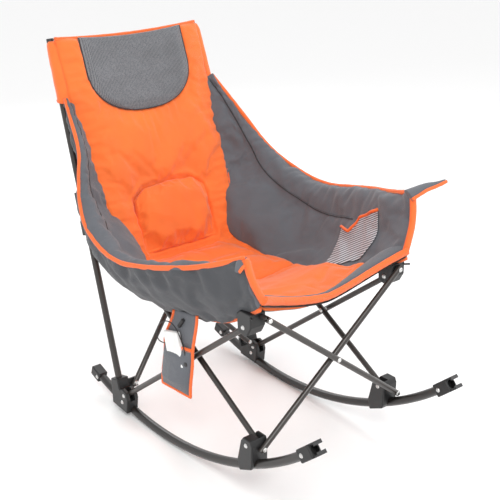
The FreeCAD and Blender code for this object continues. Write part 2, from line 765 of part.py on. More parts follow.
def padded_back():
    wide = value("back_half_width")
    waist = value("back_half_waist")
    top = value("back_height")
    outline = [(-waist, 0), (waist, 0), (waist, 225), (wide, 330), (wide, top), (-wide, top)]
    outline += [(-wide, 330), (-waist, 225)]
    inner = value("liner_thickness + film_thickness")
    front = inner + value("pad_thickness") + 0.3
    back_sheet("back_liner", outline, "liner_thickness", 0)
    film_half = value("back_film_width") / 2
    film_low = value("lumbar_low")
    film_top = film_low + value("back_film_height")
    film = [(-film_half, film_low), (film_half, film_low), (film_half, film_top), (-film_half, film_top)]
    back_sheet("back_heating_film", film, "film_thickness", value("liner_thickness"))
    back_sheet("back_pad", outline, "pad_thickness", inner)
    half = value("headrest_half_width")
    drop = value("headrest_drop")
    rounds = 10
    bowl = []
    for step in range(rounds + 1):
        angle = math.pi * step / rounds
        bowl.append((-half * math.cos(angle), top - 110 - (drop - 110) * math.sin(angle)))
    back_sheet("headrest_mesh", [(half, top - 6), (-half, top - 6)] + bowl, "headrest_thickness", front)
    half = value("lumbar_width") / 2
    low = value("lumbar_low")
    high = low + value("lumbar_height")
    shape = [(-half, low), (half, low), (half, high - 30), (half - 40, high)]
    shape += [(40 - half, high), (-half, high - 30)]
    back_sheet("lumbar_pad", shape, "lumbar_thickness", front)


def seat():
    """The rear and front halves of the seat pad, the film under it and the front hem."""
    height = value("seat_height")
    fold = value("seat_fold_y")
    length = value("seat_rear_y") - fold - 1
    middle = at(0, fold + 1 + length / 2, height)
    rear = box("seat_pad_block", "seat_width", "seat_rear_y - seat_fold_y - 1", "seat_pad_thickness", middle)
    finish(rounded("seat_pad", rear, "edge_round", lambda edge: True), "seat_pad")
    film_centre = middle - Vector(0, 0, value("seat_pad_thickness / 2 + film_thickness / 2"))
    film = box("seat_heating_film", "seat_film_width", "seat_film_length", "film_thickness", film_centre)
    finish(film, "seat_heating_film")
    slope = value("seat_front_slope")
    turn = Rotation(X_AXIS, -slope)
    reach = value("seat_front_length") / 2
    centre = at(0, fold, height) + turn.multVec(Vector(0, -reach - 2, 0))
    front = box("front_pad_block", "seat_width", "seat_front_length", "seat_pad_thickness", centre, turn)
    finish(rounded("front_pad", front, "edge_round", lambda edge: True), "front_pad")
    lip = at(0, value("hem_y"), value("hem_centre_height"))
    hem = box("front_hem_block", "hem_width", "hem_depth", "hem_height", lip)
    finish(rounded("front_hem", hem, "edge_round", lambda edge: True), "front_hem")


def strip_wire(y, outer, thickness, sign):
    """A closed section at y: outer is its outside line in (x, z), and the inside lies thickness nearer."""
    inner = [(x - thickness, z) for x, z in reversed(outer)]
    points = [at(sign * x, y, z) for x, z in outer + inner]
    return Part.makePolygon(points + points[:1])


def strip(label, stations, thickness, sign):
    """A bent strip of padded fabric through sections at several stations along the chair."""
    wires = [strip_wire(y, outer, thickness, sign) for y, outer in stations]
    item = doc.addObject("Part::Feature", label)
    item.Shape = Part.makeLoft(wires, True, True)
    item.Placement = Placement()
    return item


# Outer line of a side panel in (x, z) at each station y, from the seat's edge up to the arm's edge.
WING_STATIONS = [
    (235, [(219, 500), (219, 600), (325, 752)]),
    (100, [(219, 452), (220, 540), (358, 690)]),
    (0, [(219, 447), (220, 500), (362, 662)]),
    (-150, [(219, 455), (223, 482), (356, 678)]),
    (-300, [(219, 480), (256, 562), (338, 716)]),
    (-440, [(232, 566), (256, 620), (306, 760)]),
]
SHOULDER_STATIONS = [
    (236, [(226, 618), (250, 666), (323, 752)]),
    (360, [(275, 850), (280, 884), (285, 922)]),
]
HORN_STATIONS = [
    (-439, [(257, 622), (280, 700), (305, 758)]),
    (-505, [(348, 756), (362, 768), (376, 779)]),
]
MESH_STATIONS = [
    (-170, [(216, 505), (238, 552), (262, 600)]),
    (-330, [(222, 530), (243, 577), (266, 625)]),
]


def fabric_sides():
    thickness = value("wing_thickness")
    for side, sign in SIDES.items():
        panel = strip(f"panel_{side}", WING_STATIONS, thickness, sign)
        tip = strip(f"arm_tip_{side}", HORN_STATIONS, thickness, sign)
        finish(fuse(f"side_panel_{side}", [panel, tip]), f"side_panel_{side}")
        finish(strip(f"shoulder_{side}", SHOULDER_STATIONS, thickness, sign), f"shoulder_{side}")
    finish(strip("mesh_pocket", MESH_STATIONS, value("mesh_thickness"), 1), "mesh_pocket")


# ---------------------------------------------------------------- hanging pocket, power bank and lead
def pocket_sheet(name, outline, thickness, x):
    """A flat sheet in the side plane, padded outwards from x."""
    body = doc.addObject("PartDesign::Body", name)
    face = sketch_on(body, "YZ_Plane", name + "_outline")
    add_outline(face, [(value("floor_line_y") + y, z) for y, z in outline])
    pad(body, face, thickness, name + "_pad", midplane=True)
    body.Placement = Placement(Vector(-x - value(thickness) / 2, 0, 0), Rotation())
    return body


# Outlines in (y, z) from the floor line: the hanging panel, the bag on its lower half, and the bag's room.
POCKET_PANEL = [
    (-166, 470), (-262, 484), (-238, 350), (-224, 232),
    (-210, 212), (-104, 204), (-92, 222), (-112, 350),
]
POCKET_BAG = [(-112, 343), (-240, 381), (-224, 232), (-210, 212), (-104, 204), (-92, 222)]
POCKET_ROOM = [(-115, 352), (-237, 390), (-221, 234), (-208, 215), (-106, 207), (-95, 224)]


def side_pocket():
    """A panel that hangs from the seat's edge with an open bag on its lower half. Gives its middle's x."""
    track = value("pocket_track")
    outer = track + value("pocket_sheet")
    back = pocket_sheet("pocket_back", POCKET_PANEL, "pocket_sheet", track)
    bag = pocket_sheet("pocket_bag", POCKET_BAG, "pocket_room + pocket_sheet", outer)
    room = pocket_sheet("pocket_hollow", POCKET_ROOM, "pocket_room", outer)
    solid = fuse("pocket_solid", [back, bag])
    finish(cut("side_pocket", solid, [room]), "side_pocket")
    return outer + value("pocket_room") / 2


def power_bank(x):
    """The battery that feeds the heating films, standing in the pocket. Gives the end of its plug."""
    turn = Rotation(X_AXIS, -value("bank_lean"))
    centre = at(-x, value("bank_y"), value("bank_middle_height"))
    block = box("bank_block", "bank_thickness", "bank_width", "bank_height", centre, turn)
    finish(rounded("power_bank", block, "bank_round", lambda edge: True), "power_bank")
    face = centre + turn.multVec(Vector(0, value("bank_width") / 2, value("port_height")))
    outward = turn.multVec(Vector(0, value("plug_length"), 0))
    finish(box("bank_plug", "plug_width", "plug_length", "plug_width", face + outward / 2, turn), "bank_plug")
    return face + outward


def lead_connector():
    """The free end of the heating films' own lead, with its socket, lying against the pocket's panel."""
    x = value("pocket_track + pocket_sheet + connector_width / 2 + connector_gap")
    place = at(-x, value("connector_y"), value("connector_height"))
    slant = Rotation(X_AXIS, 36)
    wide = "connector_width"
    block = box("lead_connector_block", wide, wide, "connector_length", place, slant)
    finish(rounded("lead_connector", block, "edge_round / 2", lambda edge: True), "lead_connector")


# The lead's route in (x, y, z) from the floor line: up out of its gland in the pocket, over the power
# bank, and down past the pocket's rear edge into the bank's plug.
LEAD_ROUTE = [
    (-284.4, -222, 334),
    (-284.6, -221, 352),
    (-286.0, -215, 376),
    (-288.0, -206, 399),
    (-289.0, -193, 417),
    (-289.0, -173, 430),
    (-288.0, -147, 429),
    (-287.0, -121, 416),
    (-286.0, -101, 399),
    (-285.4, -89, 378),
    (-285.0, -90, 358),
    (-284.6, -103, 347),
]


def lead_gland():
    """The grommet on the pocket's panel that the lead comes up out of."""
    x, y, z = LEAD_ROUTE[0]
    depth = value("gland_depth")
    panel = -value("pocket_track + pocket_sheet")
    middle = at(panel - depth / 2, y, z - value("gland_height") / 2)
    finish(box("lead_gland", "gland_depth", "gland_width", "gland_height", middle), "lead_gland")


def tangent_path(points):
    """Straight runs joined by tangent arcs, each as large as its two runs allow. Prints the radii."""
    edges = []
    radii = []
    last = points[0]
    for before, corner, after in zip(points, points[1:], points[2:]):
        back = (before - corner).normalize()
        ahead = (after - corner).normalize()
        turn = math.pi - back.getAngle(ahead)
        shorter = min((before - corner).Length, (after - corner).Length)
        trim = 0.45 * shorter
        radius = trim / math.tan(turn / 2)
        radii.append(radius)
        start = corner + back * trim
        end = corner + ahead * trim
        bisector = (back + ahead).normalize()
        middle = corner + bisector * (radius / math.cos(turn / 2) - radius)
        if (start - last).Length > 1e-6:
            edges.append(Part.LineSegment(last, start).toShape())
        edges.append(Part.Arc(start, middle, end).toShape())
        last = end
    edges.append(Part.LineSegment(last, points[-1]).toShape())
    print("lead bend radii:", " ".join(f"{radius:.1f}" for radius in radii))
    return Part.Wire(edges)


def heater_lead(plug_end):
    radius = value("lead_radius")
    points = [at(*step) for step in LEAD_ROUTE] + [plug_end]
    path = tangent_path(points)
    ring = Part.Wire([Part.Circle(points[0], points[1] - points[0], radius).toShape()])
    solid = path.makePipeShell([ring], True, False)
    expected = math.pi * radius**2 * path.Length
    print(f"lead volume {solid.Volume:.1f}, section times length {expected:.1f}, length {path.Length:.1f}")
    item = doc.addObject("Part::Feature", "heater_lead")
    item.Shape = solid
    item.Placement = Placement()
    finish(item, "heater_lead")


# ---------------------------------------------------------------- build everything
for side, sign in SIDES.items():
    rocker_rail(side, sign)
    rail_heads = rail_ends(side, sign)
    rear_post(side, sign)
    rear_housing(side, sign)
    rear_rivets(side, sign, rail_heads)
    side_arms(side, sign)
    front_foot(side, sign)
    seat_corner(side, sign)
    side_slider(side, sign)
    back_slider(side, sign)
front_cross_arm("r", -1, "front_arm_rear_y")
front_cross_arm("l", 1, "front_arm_fore_y")
back_cross_arm("r", -1, "back_arm_near")
back_cross_arm("l", 1, "back_arm_far")
cross_rivets()
padded_back()
seat()
fabric_sides()
bank_x = side_pocket()
lead_gland()
lead_connector()
heater_lead(power_bank(bank_x))

doc.recompute()
for item in doc.Objects:
    if "Invalid" in item.State or "Error" in item.State:
        raise RuntimeError(f"{item.Label} failed to recompute: {item.State}")
for item in nodes:
    if item.Shape.isNull() or not item.Shape.isValid():
        raise RuntimeError(f"{item.Label} has no valid shape")

os.makedirs("parts", exist_ok=True)
for item in nodes:
    item.Shape.exportStep(f"parts/{item.Label}.step")
print(len(nodes), "nodes written")
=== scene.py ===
import json
import math

import bmesh
import bpy
from mathutils import Matrix, Vector, noise
from mathutils.bvhtree import BVHTree


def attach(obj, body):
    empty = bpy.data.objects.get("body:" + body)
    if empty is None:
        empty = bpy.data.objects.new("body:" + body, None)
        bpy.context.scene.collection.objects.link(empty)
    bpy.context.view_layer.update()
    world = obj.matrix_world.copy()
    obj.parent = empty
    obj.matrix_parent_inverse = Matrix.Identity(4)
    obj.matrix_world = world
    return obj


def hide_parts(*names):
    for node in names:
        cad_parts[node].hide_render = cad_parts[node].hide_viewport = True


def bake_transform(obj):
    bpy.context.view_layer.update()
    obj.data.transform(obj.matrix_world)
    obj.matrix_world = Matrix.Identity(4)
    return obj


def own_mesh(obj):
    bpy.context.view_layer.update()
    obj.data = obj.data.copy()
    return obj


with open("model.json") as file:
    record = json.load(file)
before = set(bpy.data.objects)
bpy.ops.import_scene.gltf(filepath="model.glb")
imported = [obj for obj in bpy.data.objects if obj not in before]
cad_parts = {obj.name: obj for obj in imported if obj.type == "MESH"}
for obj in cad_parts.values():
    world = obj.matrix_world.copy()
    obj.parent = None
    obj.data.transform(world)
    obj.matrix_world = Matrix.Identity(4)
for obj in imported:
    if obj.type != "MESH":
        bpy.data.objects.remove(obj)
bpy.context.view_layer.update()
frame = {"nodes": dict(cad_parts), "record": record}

# Folding camp rocking chair. Metres, +Z up, the sitter faces -Y and +X is the sitter's left.
FLOOR_Y = 0.1218  # the rails touch the floor along this line

# The padded back leans in a plane of its own, and each post leans less.
BACK_FOOT = Vector((0, 0.198, 0.430))
BACK_LEAN = math.radians(21.25)
BACK_UP = Vector((0, math.sin(BACK_LEAN), math.cos(BACK_LEAN)))
BACK_FORWARD = Vector((0, -math.cos(BACK_LEAN), math.sin(BACK_LEAN)))
BACK_HEIGHT = 0.700
POST_FOOT = Vector((0, 0.163, 0.045))
POST_LEAN = math.radians(15.9)
POST_UP = Vector((0, math.sin(POST_LEAN), math.cos(POST_LEAN)))
POST_X = 0.252
SIDES = (("r", -1), ("l", 1))


def at(x, y, z):
    """A point given from the rails' floor line."""
    return Vector((x, y + FLOOR_Y, z))


def on_back(x, up, forward):
    """A point on the padded back: up along it from its foot, forward of its rear face."""
    point = BACK_FOOT + BACK_UP * up + BACK_FORWARD * forward
    return at(x, point.y, point.z)


def on_post(x, up):
    """A point on a rear post's axis, up along it from its foot."""
    point = POST_FOOT + POST_UP * up
    return at(x, point.y, point.z)


def linked(name, data):
    """An object for the data, put in the scene."""
    item = bpy.data.objects.new(name, data)
    bpy.context.scene.collection.objects.link(item)
    return item


# ---------------------------------------------------------------- camera
def camera():
    """The view from in front, on the sitter's right and above the chair."""
    data = bpy.data.cameras.new("camera")
    data.lens = 71.87
    data.sensor_width = 36
    item = linked("camera", data)
    away = Vector((-0.58646, -0.71821, 0.37448))
    right = Vector((0.77457, -0.63248, 0))
    up = away.cross(right)
    turn = Matrix((right, up, away)).transposed().to_4x4()
    item.matrix_world = Matrix.Translation(at(-1.632, -2.141, 1.599)) @ turn
    bpy.context.scene.camera = item


camera()


# ---------------------------------------------------------------- node materials
class Nodes:
    """A material's node tree, with short ways to add and join nodes."""

    def __init__(self, name):
        self.material = bpy.data.materials.new(name)
        self.material.use_nodes = True
        self.tree = self.material.node_tree
        self.shader = self.tree.nodes["Principled BSDF"]
        self.place = self.add("ShaderNodeTexCoord").outputs["Object"]

    def add(self, kind, **values):
        node = self.tree.nodes.new(kind)
        for key, value in values.items():
            setattr(node, key, value)
        return node

    def join(self, output, socket):
        self.tree.links.new(output, socket)

    def turned(self, scale, turn=(0, 0, 0)):
        """The object's coordinates, scaled and turned."""
        node = self.add("ShaderNodeMapping")
        node.inputs["Scale"].default_value = scale
        node.inputs["Rotation"].default_value = turn
        self.join(self.place, node.inputs["Vector"])
        return node.outputs["Vector"]

    def speckle(self, scale, detail=2.0, rough=0.5, stretch=(1, 1, 1)):
        node = self.add("ShaderNodeTexNoise")
        node.inputs["Scale"].default_value = scale
        node.inputs["Detail"].default_value = detail
        node.inputs["Roughness"].default_value = rough
        self.join(self.turned(stretch), node.inputs["Vector"])
        return node.outputs["Fac"]

    def wave(self, scale, axis, turn=(0, 0, 0), distortion=0.0):
        node = self.add("ShaderNodeTexWave", bands_direction=axis)
        node.inputs["Scale"].default_value = scale
        node.inputs["Distortion"].default_value = distortion
        node.inputs["Detail"].default_value = 1.0
        self.join(self.turned((1, 1, 1), turn), node.inputs["Vector"])
        return node.outputs["Fac"]

    def math(self, operation, first, second):
        node = self.add("ShaderNodeMath", operation=operation)
        for socket, value in zip(node.inputs, (first, second)):
            if isinstance(value, (int, float)):
                socket.default_value = value
            else:
                self.join(value, socket)
        return node.outputs["Value"]

    def ramp(self, factor, stops):
        """A colour ramp: stops are (position, colour)."""
        node = self.add("ShaderNodeValToRGB")
        elements = node.color_ramp.elements
        while len(elements) < len(stops):
            elements.new(0.5)
        for element, (position, colour) in zip(elements, stops):
            element.position = position
            element.color = (*colour, 1)
        self.join(factor, node.inputs["Fac"])
        return node.outputs["Color"]

    def mix(self, factor, first, second, blend="MIX"):
        node = self.add("ShaderNodeMix", data_type="RGBA", blend_type=blend)
        for socket, value in ((node.inputs[0], factor), (node.inputs[6], first), (node.inputs[7], second)):
            if isinstance(value, (int, float)):
                socket.default_value = value
            elif isinstance(value, tuple):
                socket.default_value = (*value, 1)
            else:
                self.join(value, socket)
        return node.outputs[2]

    def bump(self, height, strength, distance, below=None):
        node = self.add("ShaderNodeBump")
        node.inputs["Strength"].default_value = strength
        node.inputs["Distance"].default_value = distance
        self.join(height, node.inputs["Height"])
        if below is not None:
            self.join(below, node.inputs["Normal"])
        return node.outputs["Normal"]

    def worn(self, low, high):
        """0 on flat stretches and 1 on sharp edges."""
        point = self.add("ShaderNodeNewGeometry").outputs["Pointiness"]
        node = self.add("ShaderNodeMapRange")
        node.inputs["From Min"].default_value = low
        node.inputs["From Max"].default_value = high
        self.join(point, node.inputs["Value"])
        return node.outputs["Result"]

    def set(self, **values):
        for name, value in values.items():
            socket = self.shader.inputs[name.replace("_", " ").title().replace("Ior", "IOR")]
            if isinstance(value, tuple):
                value = (*value, 1)
            socket.default_value = value

    def finish(self, colour=None, normal=None, roughness=None):
        if colour is not None:
            self.join(colour, self.shader.inputs["Base Color"])
        if normal is not None:
            self.join(normal, self.shader.inputs["Normal"])
        if roughness is not None:
            self.join(roughness, self.shader.inputs["Roughness"])
        return self.material


def shade(colour, amount):
    """The colour, darker below 1 and lighter above."""
    return tuple(min(1.0, part * amount) for part in colour)


def woven(name, colour, thread=0.0011, rough=0.78, sheen=0.25, contrast=0.12):
    """A tight polyester weave: two crossing sets of threads, faint slubs and soft colour change."""
    made = Nodes(name)
    scale = 0.5 / thread
    warp = made.wave(scale, "X", (0.3, 0.25, 0.6))
    weft = made.wave(scale, "Z", (0.3, 0.25, 0.6))
    weave = made.math("MULTIPLY", warp, weft)
    slub = made.speckle(900, 2.0, 0.6, (1, 1, 0.35))
    cloud = made.speckle(7, 4.0, 0.6)
    base = made.ramp(
        cloud, [(0.3, shade(colour, 1 - contrast)), (0.5, colour), (0.72, shade(colour, 1 + contrast))]
    )
    darker = made.mix(made.math("MULTIPLY", weave, 0.35), base, shade(colour, 0.72))
    mottled = made.mix(made.math("MULTIPLY", slub, 0.22), darker, shade(colour, 1.25))
    creases = made.bump(made.speckle(38, 3.0, 0.62), 0.16, 0.006)
    normal = made.bump(made.math("ADD", weave, made.math("MULTIPLY", slub, 0.6)), 0.45, 0.0006, creases)
    made.set(roughness=rough, sheen_weight=sheen, sheen_roughness=0.45)
    roughness = made.math("ADD", made.math("MULTIPLY", cloud, 0.18), rough - 0.12)
    return made.finish(mottled, normal, roughness)


def spacer_mesh(name, colour, cell, light):
    """Knitted mesh: rows of small holes, staggered, with brighter yarn between them."""
    made = Nodes(name)
    holes = made.add("ShaderNodeTexVoronoi", feature="F1", voronoi_dimensions="3D")
    holes.inputs["Scale"].default_value = 1 / cell
    holes.inputs["Randomness"].default_value = 0.18
    made.join(made.turned((1, 1, 1), (0.37, 0, 0.78)), holes.inputs["Vector"])
    yarn = made.math("MULTIPLY", holes.outputs["Distance"], 1.5)
    tint = made.ramp(yarn, [(0.18, shade(colour, 0.35)), (0.5, colour), (0.85, light)])
    cloud = made.ramp(made.speckle(9, 3.0), [(0.3, (0.8, 0.8, 0.8)), (0.7, (1, 1, 1))])
    made.set(roughness=0.62, sheen_weight=0.35, sheen_roughness=0.4)
    return made.finish(made.mix(1.0, tint, cloud, "MULTIPLY"), made.bump(yarn, 0.7, 0.0012))


def line_mesh(name, colour, dark, pitch):
    """Open pocket mesh with strong straight yarns over a darker ground."""
    made = Nodes(name)
    lines = made.wave(0.5 / pitch, "Z", (0.55, 0.1, 0), 0.15)
    cross = made.wave(0.9 / pitch, "Y", (0, 0, 0))
    cover = made.math("MAXIMUM", lines, made.math("MULTIPLY", cross, 0.66))
    tint = made.ramp(cover, [(0.50, dark), (0.74, shade(colour, 0.7)), (0.93, colour)])
    made.set(roughness=0.6, sheen_weight=0.2)
    return made.finish(tint, made.bump(cover, 0.6, 0.0008))


def powder_coat(name, colour):
    """Satin powder coat with a faint peel, scuffs, and paler rubbed edges."""
    made = Nodes(name)
    peel = made.speckle(850, 2.0, 0.5)
    cloud = made.speckle(14, 4.0, 0.65)
    base = made.ramp(cloud, [(0.35, shade(colour, 0.85)), (0.65, shade(colour, 1.2))])
    scuffs = made.ramp(made.speckle(60, 6.0, 0.7, (1, 1, 0.15)), [(0.66, (0, 0, 0)), (0.74, (1, 1, 1))])
    tint = made.mix(made.math("MULTIPLY", scuffs, 0.10), base, shade(colour, 4.0))
    tint = made.mix(made.math("MULTIPLY", made.worn(0.53, 0.60), 0.35), tint, shade(colour, 5.0))
    made.set(metallic=0.0, coat_weight=0.3, coat_roughness=0.25)
    roughness = made.math("ADD", made.math("MULTIPLY", cloud, 0.22), 0.24)
    return made.finish(tint, made.bump(peel, 0.18, 0.0004), roughness)


def moulded(name, colour, rough=0.45, grain=1400, gloss=0.0):
    """Moulded plastic with a fine spark-eroded grain and paler rubbed edges."""
    made = Nodes(name)
    fine = made.speckle(grain, 3.0, 0.6)
    cloud = made.speckle(20, 3.0)
    base = made.ramp(cloud, [(0.3, shade(colour, 0.88)), (0.7, shade(colour, 1.15))])
    edge = made.math("MULTIPLY", made.worn(0.52, 0.62), 0.4)
    tint = made.mix(edge, base, tuple(min(1.0, part * 1.6 + 0.04) for part in colour))
    made.set(coat_weight=gloss, coat_roughness=0.15)
    roughness = made.math("ADD", made.math("MULTIPLY", cloud, 0.2), rough - 0.1)
    return made.finish(tint, made.bump(fine, 0.22, 0.0003), roughness)


def bare_steel(name):
    """Brushed, slightly stained steel for rivets."""
    made = Nodes(name)
    brush = made.speckle(500, 4.0, 0.7, (1, 1, 0.08))
    stain = made.speckle(120, 3.0)
    tint = made.ramp(stain, [(0.3, (0.46, 0.45, 0.44)), (0.6, (0.72, 0.72, 0.71))])
    made.set(metallic=1.0)
    roughness = made.math("ADD", made.math("MULTIPLY", brush, 0.25), 0.18)
    return made.finish(tint, made.bump(brush, 0.15, 0.0002), roughness)


def carbon_film(name):
    """A dark film with printed heating bars."""
    made = Nodes(name)
    bars = made.wave(45, "Y")
    tint = made.ramp(bars, [(0.42, (0.015, 0.015, 0.016)), (0.5, (0.28, 0.15, 0.05))])
    made.set(roughness=0.35)
    return made.finish(tint, made.bump(bars, 0.3, 0.0002))


ORANGE = (0.93, 0.165, 0.022)
GREY = (0.105, 0.112, 0.128)
MATERIALS = {
    "powder_coated_steel": powder_coat("powder_coated_steel", (0.0105, 0.0082, 0.0070)),
    "black_plastic": moulded("black_plastic", (0.0095, 0.0095, 0.0100)),
    "rivet_steel": bare_steel("rivet_steel"),
    "orange_fabric": woven("orange_fabric", ORANGE),
    "orange_binding": woven("orange_binding", (0.90, 0.14, 0.018), 0.0008, 0.6, 0.15, 0.06),
    "grey_fabric": woven("grey_fabric", GREY, 0.0012, 0.8, 0.2, 0.14),
    # A darker copy of the grey fabric, as painted shade: on the near panel's outer face, the back cushion's
    # rear face and the front seat half's underside.
    "painted_shade_fabric": woven("painted_shade_fabric", (0.055, 0.058, 0.066), 0.0012, 0.8, 0.2, 0.16),
    "headrest_mesh": spacer_mesh("headrest_mesh", (0.060, 0.063, 0.072), 0.0034, (0.20, 0.205, 0.22)),
    "pocket_mesh": line_mesh("pocket_mesh", (0.62, 0.62, 0.66), (0.055, 0.055, 0.065), 0.0085),
    "black_webbing": woven("black_webbing", (0.012, 0.012, 0.013), 0.0022, 0.7, 0.3, 0.1),
    "heating_film": carbon_film("heating_film"),
    "white_plastic": moulded("white_plastic", (0.80, 0.80, 0.79), 0.35, 900, 0.4),
    "cable_black": moulded("cable_black", (0.014, 0.014, 0.015), 0.55, 2000),
    "thread_light": woven("thread_light", (0.95, 0.35, 0.14), 0.0005, 0.6, 0.1, 0.05),
    "thread_dark": woven("thread_dark", (0.020, 0.021, 0.024), 0.0005, 0.6, 0.1, 0.05),
}


def cad_materials():
    """Gives each CAD node that stays the finish of its material slot."""
    for row in frame["record"]["subparts"]:
        item = frame["nodes"][row["node"]]
        item.data.materials.clear()
        item.data.materials.append(MATERIALS[row["material_slot"]])


cad_materials()


# ---------------------------------------------------------------- shared mesh work
CLOTH_FRAMES = 20
CLOTH = {
    "quality": 6,
    "mass": 0.25,
    "tension_stiffness": 25,
    "compression_stiffness": 25,
    "shear_stiffness": 8,
    "bending_stiffness": 0.6,
    "tension_damping": 12,
    "compression_damping": 12,
    "air_damping": 3,
    "pin_stiffness": 1.0,
}


def catmull(points, low, t):
    """A place on the Catmull-Rom curve through points, t of the way from point low to the next."""
    last = len(points) - 1
    before, start, end, after = (points[min(max(low + k, 0), last)] for k in (-1, 0, 1, 2))
    return 0.5 * (
        2 * start
        + (end - before) * t
        + (2 * before - 5 * start + 4 * end - after) * t**2
        + (3 * start - 3 * end + after - before) * t**3
    )


def smooth(points, count):
    """Points evenly spread along a Catmull-Rom curve through the given ones."""
    parts = 16
    dense = [catmull(points, i, step / parts) for i in range(len(points) - 1) for step in range(parts)]
    dense.append(points[-1])
    return even(dense, count)


def even(points, count):
    """The same line, as count points the same distance apart."""
    reach = [0.0]
    for a, b in zip(points, points[1:]):
        reach.append(reach[-1] + (b - a).length)
    result = []
    place = 0
    for i in range(count):
        target = reach[-1] * i / (count - 1)
        while place < len(points) - 2 and reach[place + 1] < target:
            place += 1
        span = reach[place + 1] - reach[place]
        result.append(points[place].lerp(points[place + 1], (target - reach[place]) / span if span else 0))
    return result


def steps(low, high, count):
    """Evenly spaced numbers from low to high."""
    return [low + (high - low) * i / (count - 1) for i in range(count)]


def curve_value(stops, x):
    """A smooth value through (x, value) stops."""
    for (x0, a), (x1, b) in zip(stops, stops[1:]):
        if x <= x1:
            t = min(max((x - x0) / (x1 - x0), 0), 1)
            return a + (b - a) * t * t * (3 - 2 * t)
    return stops[-1][1]


def mesh_object(name, points, faces, material):
    mesh = bpy.data.meshes.new(name)
    mesh.from_pydata([tuple(point) for point in points], [], faces)
    mesh.validate()
    mesh.polygons.foreach_set("use_smooth", [True] * len(mesh.polygons))
    item = linked(name, mesh)
    mesh.materials.append(MATERIALS[material])
    build = bmesh.new()
    build.from_mesh(mesh)
    bmesh.ops.recalc_face_normals(build, faces=build.faces)
    build.to_mesh(mesh)
    build.free()
    return item


def ring_faces(rings, around):
    """The faces of a skin over rings of points, with the same number of points round each ring."""
    faces = []
    for i in range(rings - 1):
        for k in range(around):
            a = i * around + k
            b = i * around + (k + 1) % around
            faces.append((a, b, b + around, a + around))
    return faces


def closed_sheet(name, front, back, material, behind=None):
    """A closed body between two grids of the same size, joined round their edges."""
    rows = len(front)
    columns = len(front[0])
    points = [point for row in front for point in row] + [point for row in back for point in row]
    shift = rows * columns
    faces = []
    for i in range(rows - 1):
        for j in range(columns - 1):
            a = i * columns + j
            faces.append((a, a + 1, a + columns + 1, a + columns))
            faces.append((shift + a + columns, shift + a + columns + 1, shift + a + 1, shift + a))
    rim = [j for j in range(columns)]
    rim += [i * columns + columns - 1 for i in range(1, rows)]
    rim += [(rows - 1) * columns + j for j in range(columns - 2, -1, -1)]
    rim += [i * columns for i in range(rows - 2, 0, -1)]
    for a, b in zip(rim, rim[1:] + rim[:1]):
        faces.append((a, shift + a, shift + b, b))
    item = mesh_object(name, points, faces, material)
    if behind:
        item.data.materials.append(MATERIALS[behind])
        for polygon in item.data.polygons:
            if all(vertex >= shift for vertex in polygon.vertices):
                polygon.material_index = 1
    return item


def sheet_of(name, rows, columns, place, material, behind=None):
    """A closed sheet: place gives the front and the rear point of each row and column."""
    pairs = [[place(i, j) for j in range(columns)] for i in range(rows)]
    front = [[pair[0] for pair in row] for row in pairs]
    rear = [[pair[1] for pair in row] for row in pairs]
    return closed_sheet(name, front, rear, material, behind)


def subdivided(item):
    """Applies one level of a subdivision surface."""
    modifier = item.modifiers.new("smooth", "SUBSURF")
    modifier.levels = 1
    modifier.render_levels = 1
    applied(item)
    return item


def applied(item):
    """Replaces an object's mesh with what its modifiers make of it."""
    graph = bpy.context.evaluated_depsgraph_get()
    mesh = bpy.data.meshes.new_from_object(item.evaluated_get(graph))
    item.modifiers.clear()
    item.data = mesh
    mesh.polygons.foreach_set("use_smooth", [True] * len(mesh.polygons))


def sewn_round(rows, columns, margin, under=None):
    """The grip for a sheet: its rear holds, and so do a margin of its front and what lies under a cover."""

    def holds(index, point):
        if index >= rows * columns:
            return 1.0
        i, j = divmod(index, columns)
        if min(i, rows - 1 - i, j, columns - 1 - j) < margin:
            return 1.0
        return 1.0 if under and under(i, point) else 0.0

    return holds


def simulate(item, holds, pressure, slack, cap):
    """Lets cloth swell and wrinkle.

    holds gives each point's grip from 0 to 1, slack is how much its cloth may grow, and no point moves
    further than cap.
    """
    rest = [vertex.co.copy() for vertex in item.data.vertices]
    group = item.vertex_groups.new(name="held")
    for index, point in enumerate(rest):
        group.add([index], holds(index, point), "REPLACE")
    modifier = item.modifiers.new("cloth", "CLOTH")
    settings = modifier.settings
    for key, value in CLOTH.items():
        setattr(settings, key, value)
    settings.vertex_group_mass = "held"
    settings.shrink_min = -slack
    settings.use_pressure = True
    settings.uniform_pressure_force = pressure
    settings.effector_weights.gravity = 0
    modifier.collision_settings.use_collision = False
    modifier.point_cache.frame_start = 1
    modifier.point_cache.frame_end = CLOTH_FRAMES
    scene = bpy.context.scene
    for number in range(1, CLOTH_FRAMES + 1):
        scene.frame_set(number)
    graph = bpy.context.evaluated_depsgraph_get()
    moved = item.evaluated_get(graph).data
    places = [vertex.co.copy() for vertex in moved.vertices]
    item.modifiers.clear()
    item.vertex_groups.clear()
    for vertex, start, end in zip(item.data.vertices, rest, places):
        step = end - start
        if step.length > cap:
            step *= cap / step.length
        if not math.isfinite(step.length):
            step = Vector()
        vertex.co = start + step
    scene.frame_set(1)
    return item


# Three places far enough apart for their noise to be unlike, for the parts of a vector.
BENDS = (Vector((9.3, -1.5, -7.9)), Vector((-3.7, 8.2, 1.1)), Vector((4.6, -6.4, 2.8)))


def wrinkle(point, scale, seed, stretch=(1, 1, 1)):
    """Soft creased noise from about -1 to 1."""
    place = Vector((point.x * stretch[0], point.y * stretch[1], point.z * stretch[2])) * scale
    place += Vector((seed * 7.3, seed * 3.1, -seed * 5.7))
    bend = Vector([noise.noise(place * 0.6 + apart) for apart in BENDS]) * 0.7
    ridge = 1 - abs(noise.noise(place + bend)) * 2.2
    return ridge * 0.6 + noise.noise(place * 2.1 + bend) * 0.4


def pucker(along, distance, reach, seed):
    """Small gathers that run off a sewn line: along it, and the distance from it."""
    return noise.noise(Vector((along, seed * 4.1, distance * 6))) * math.exp(-((distance / reach) ** 2))


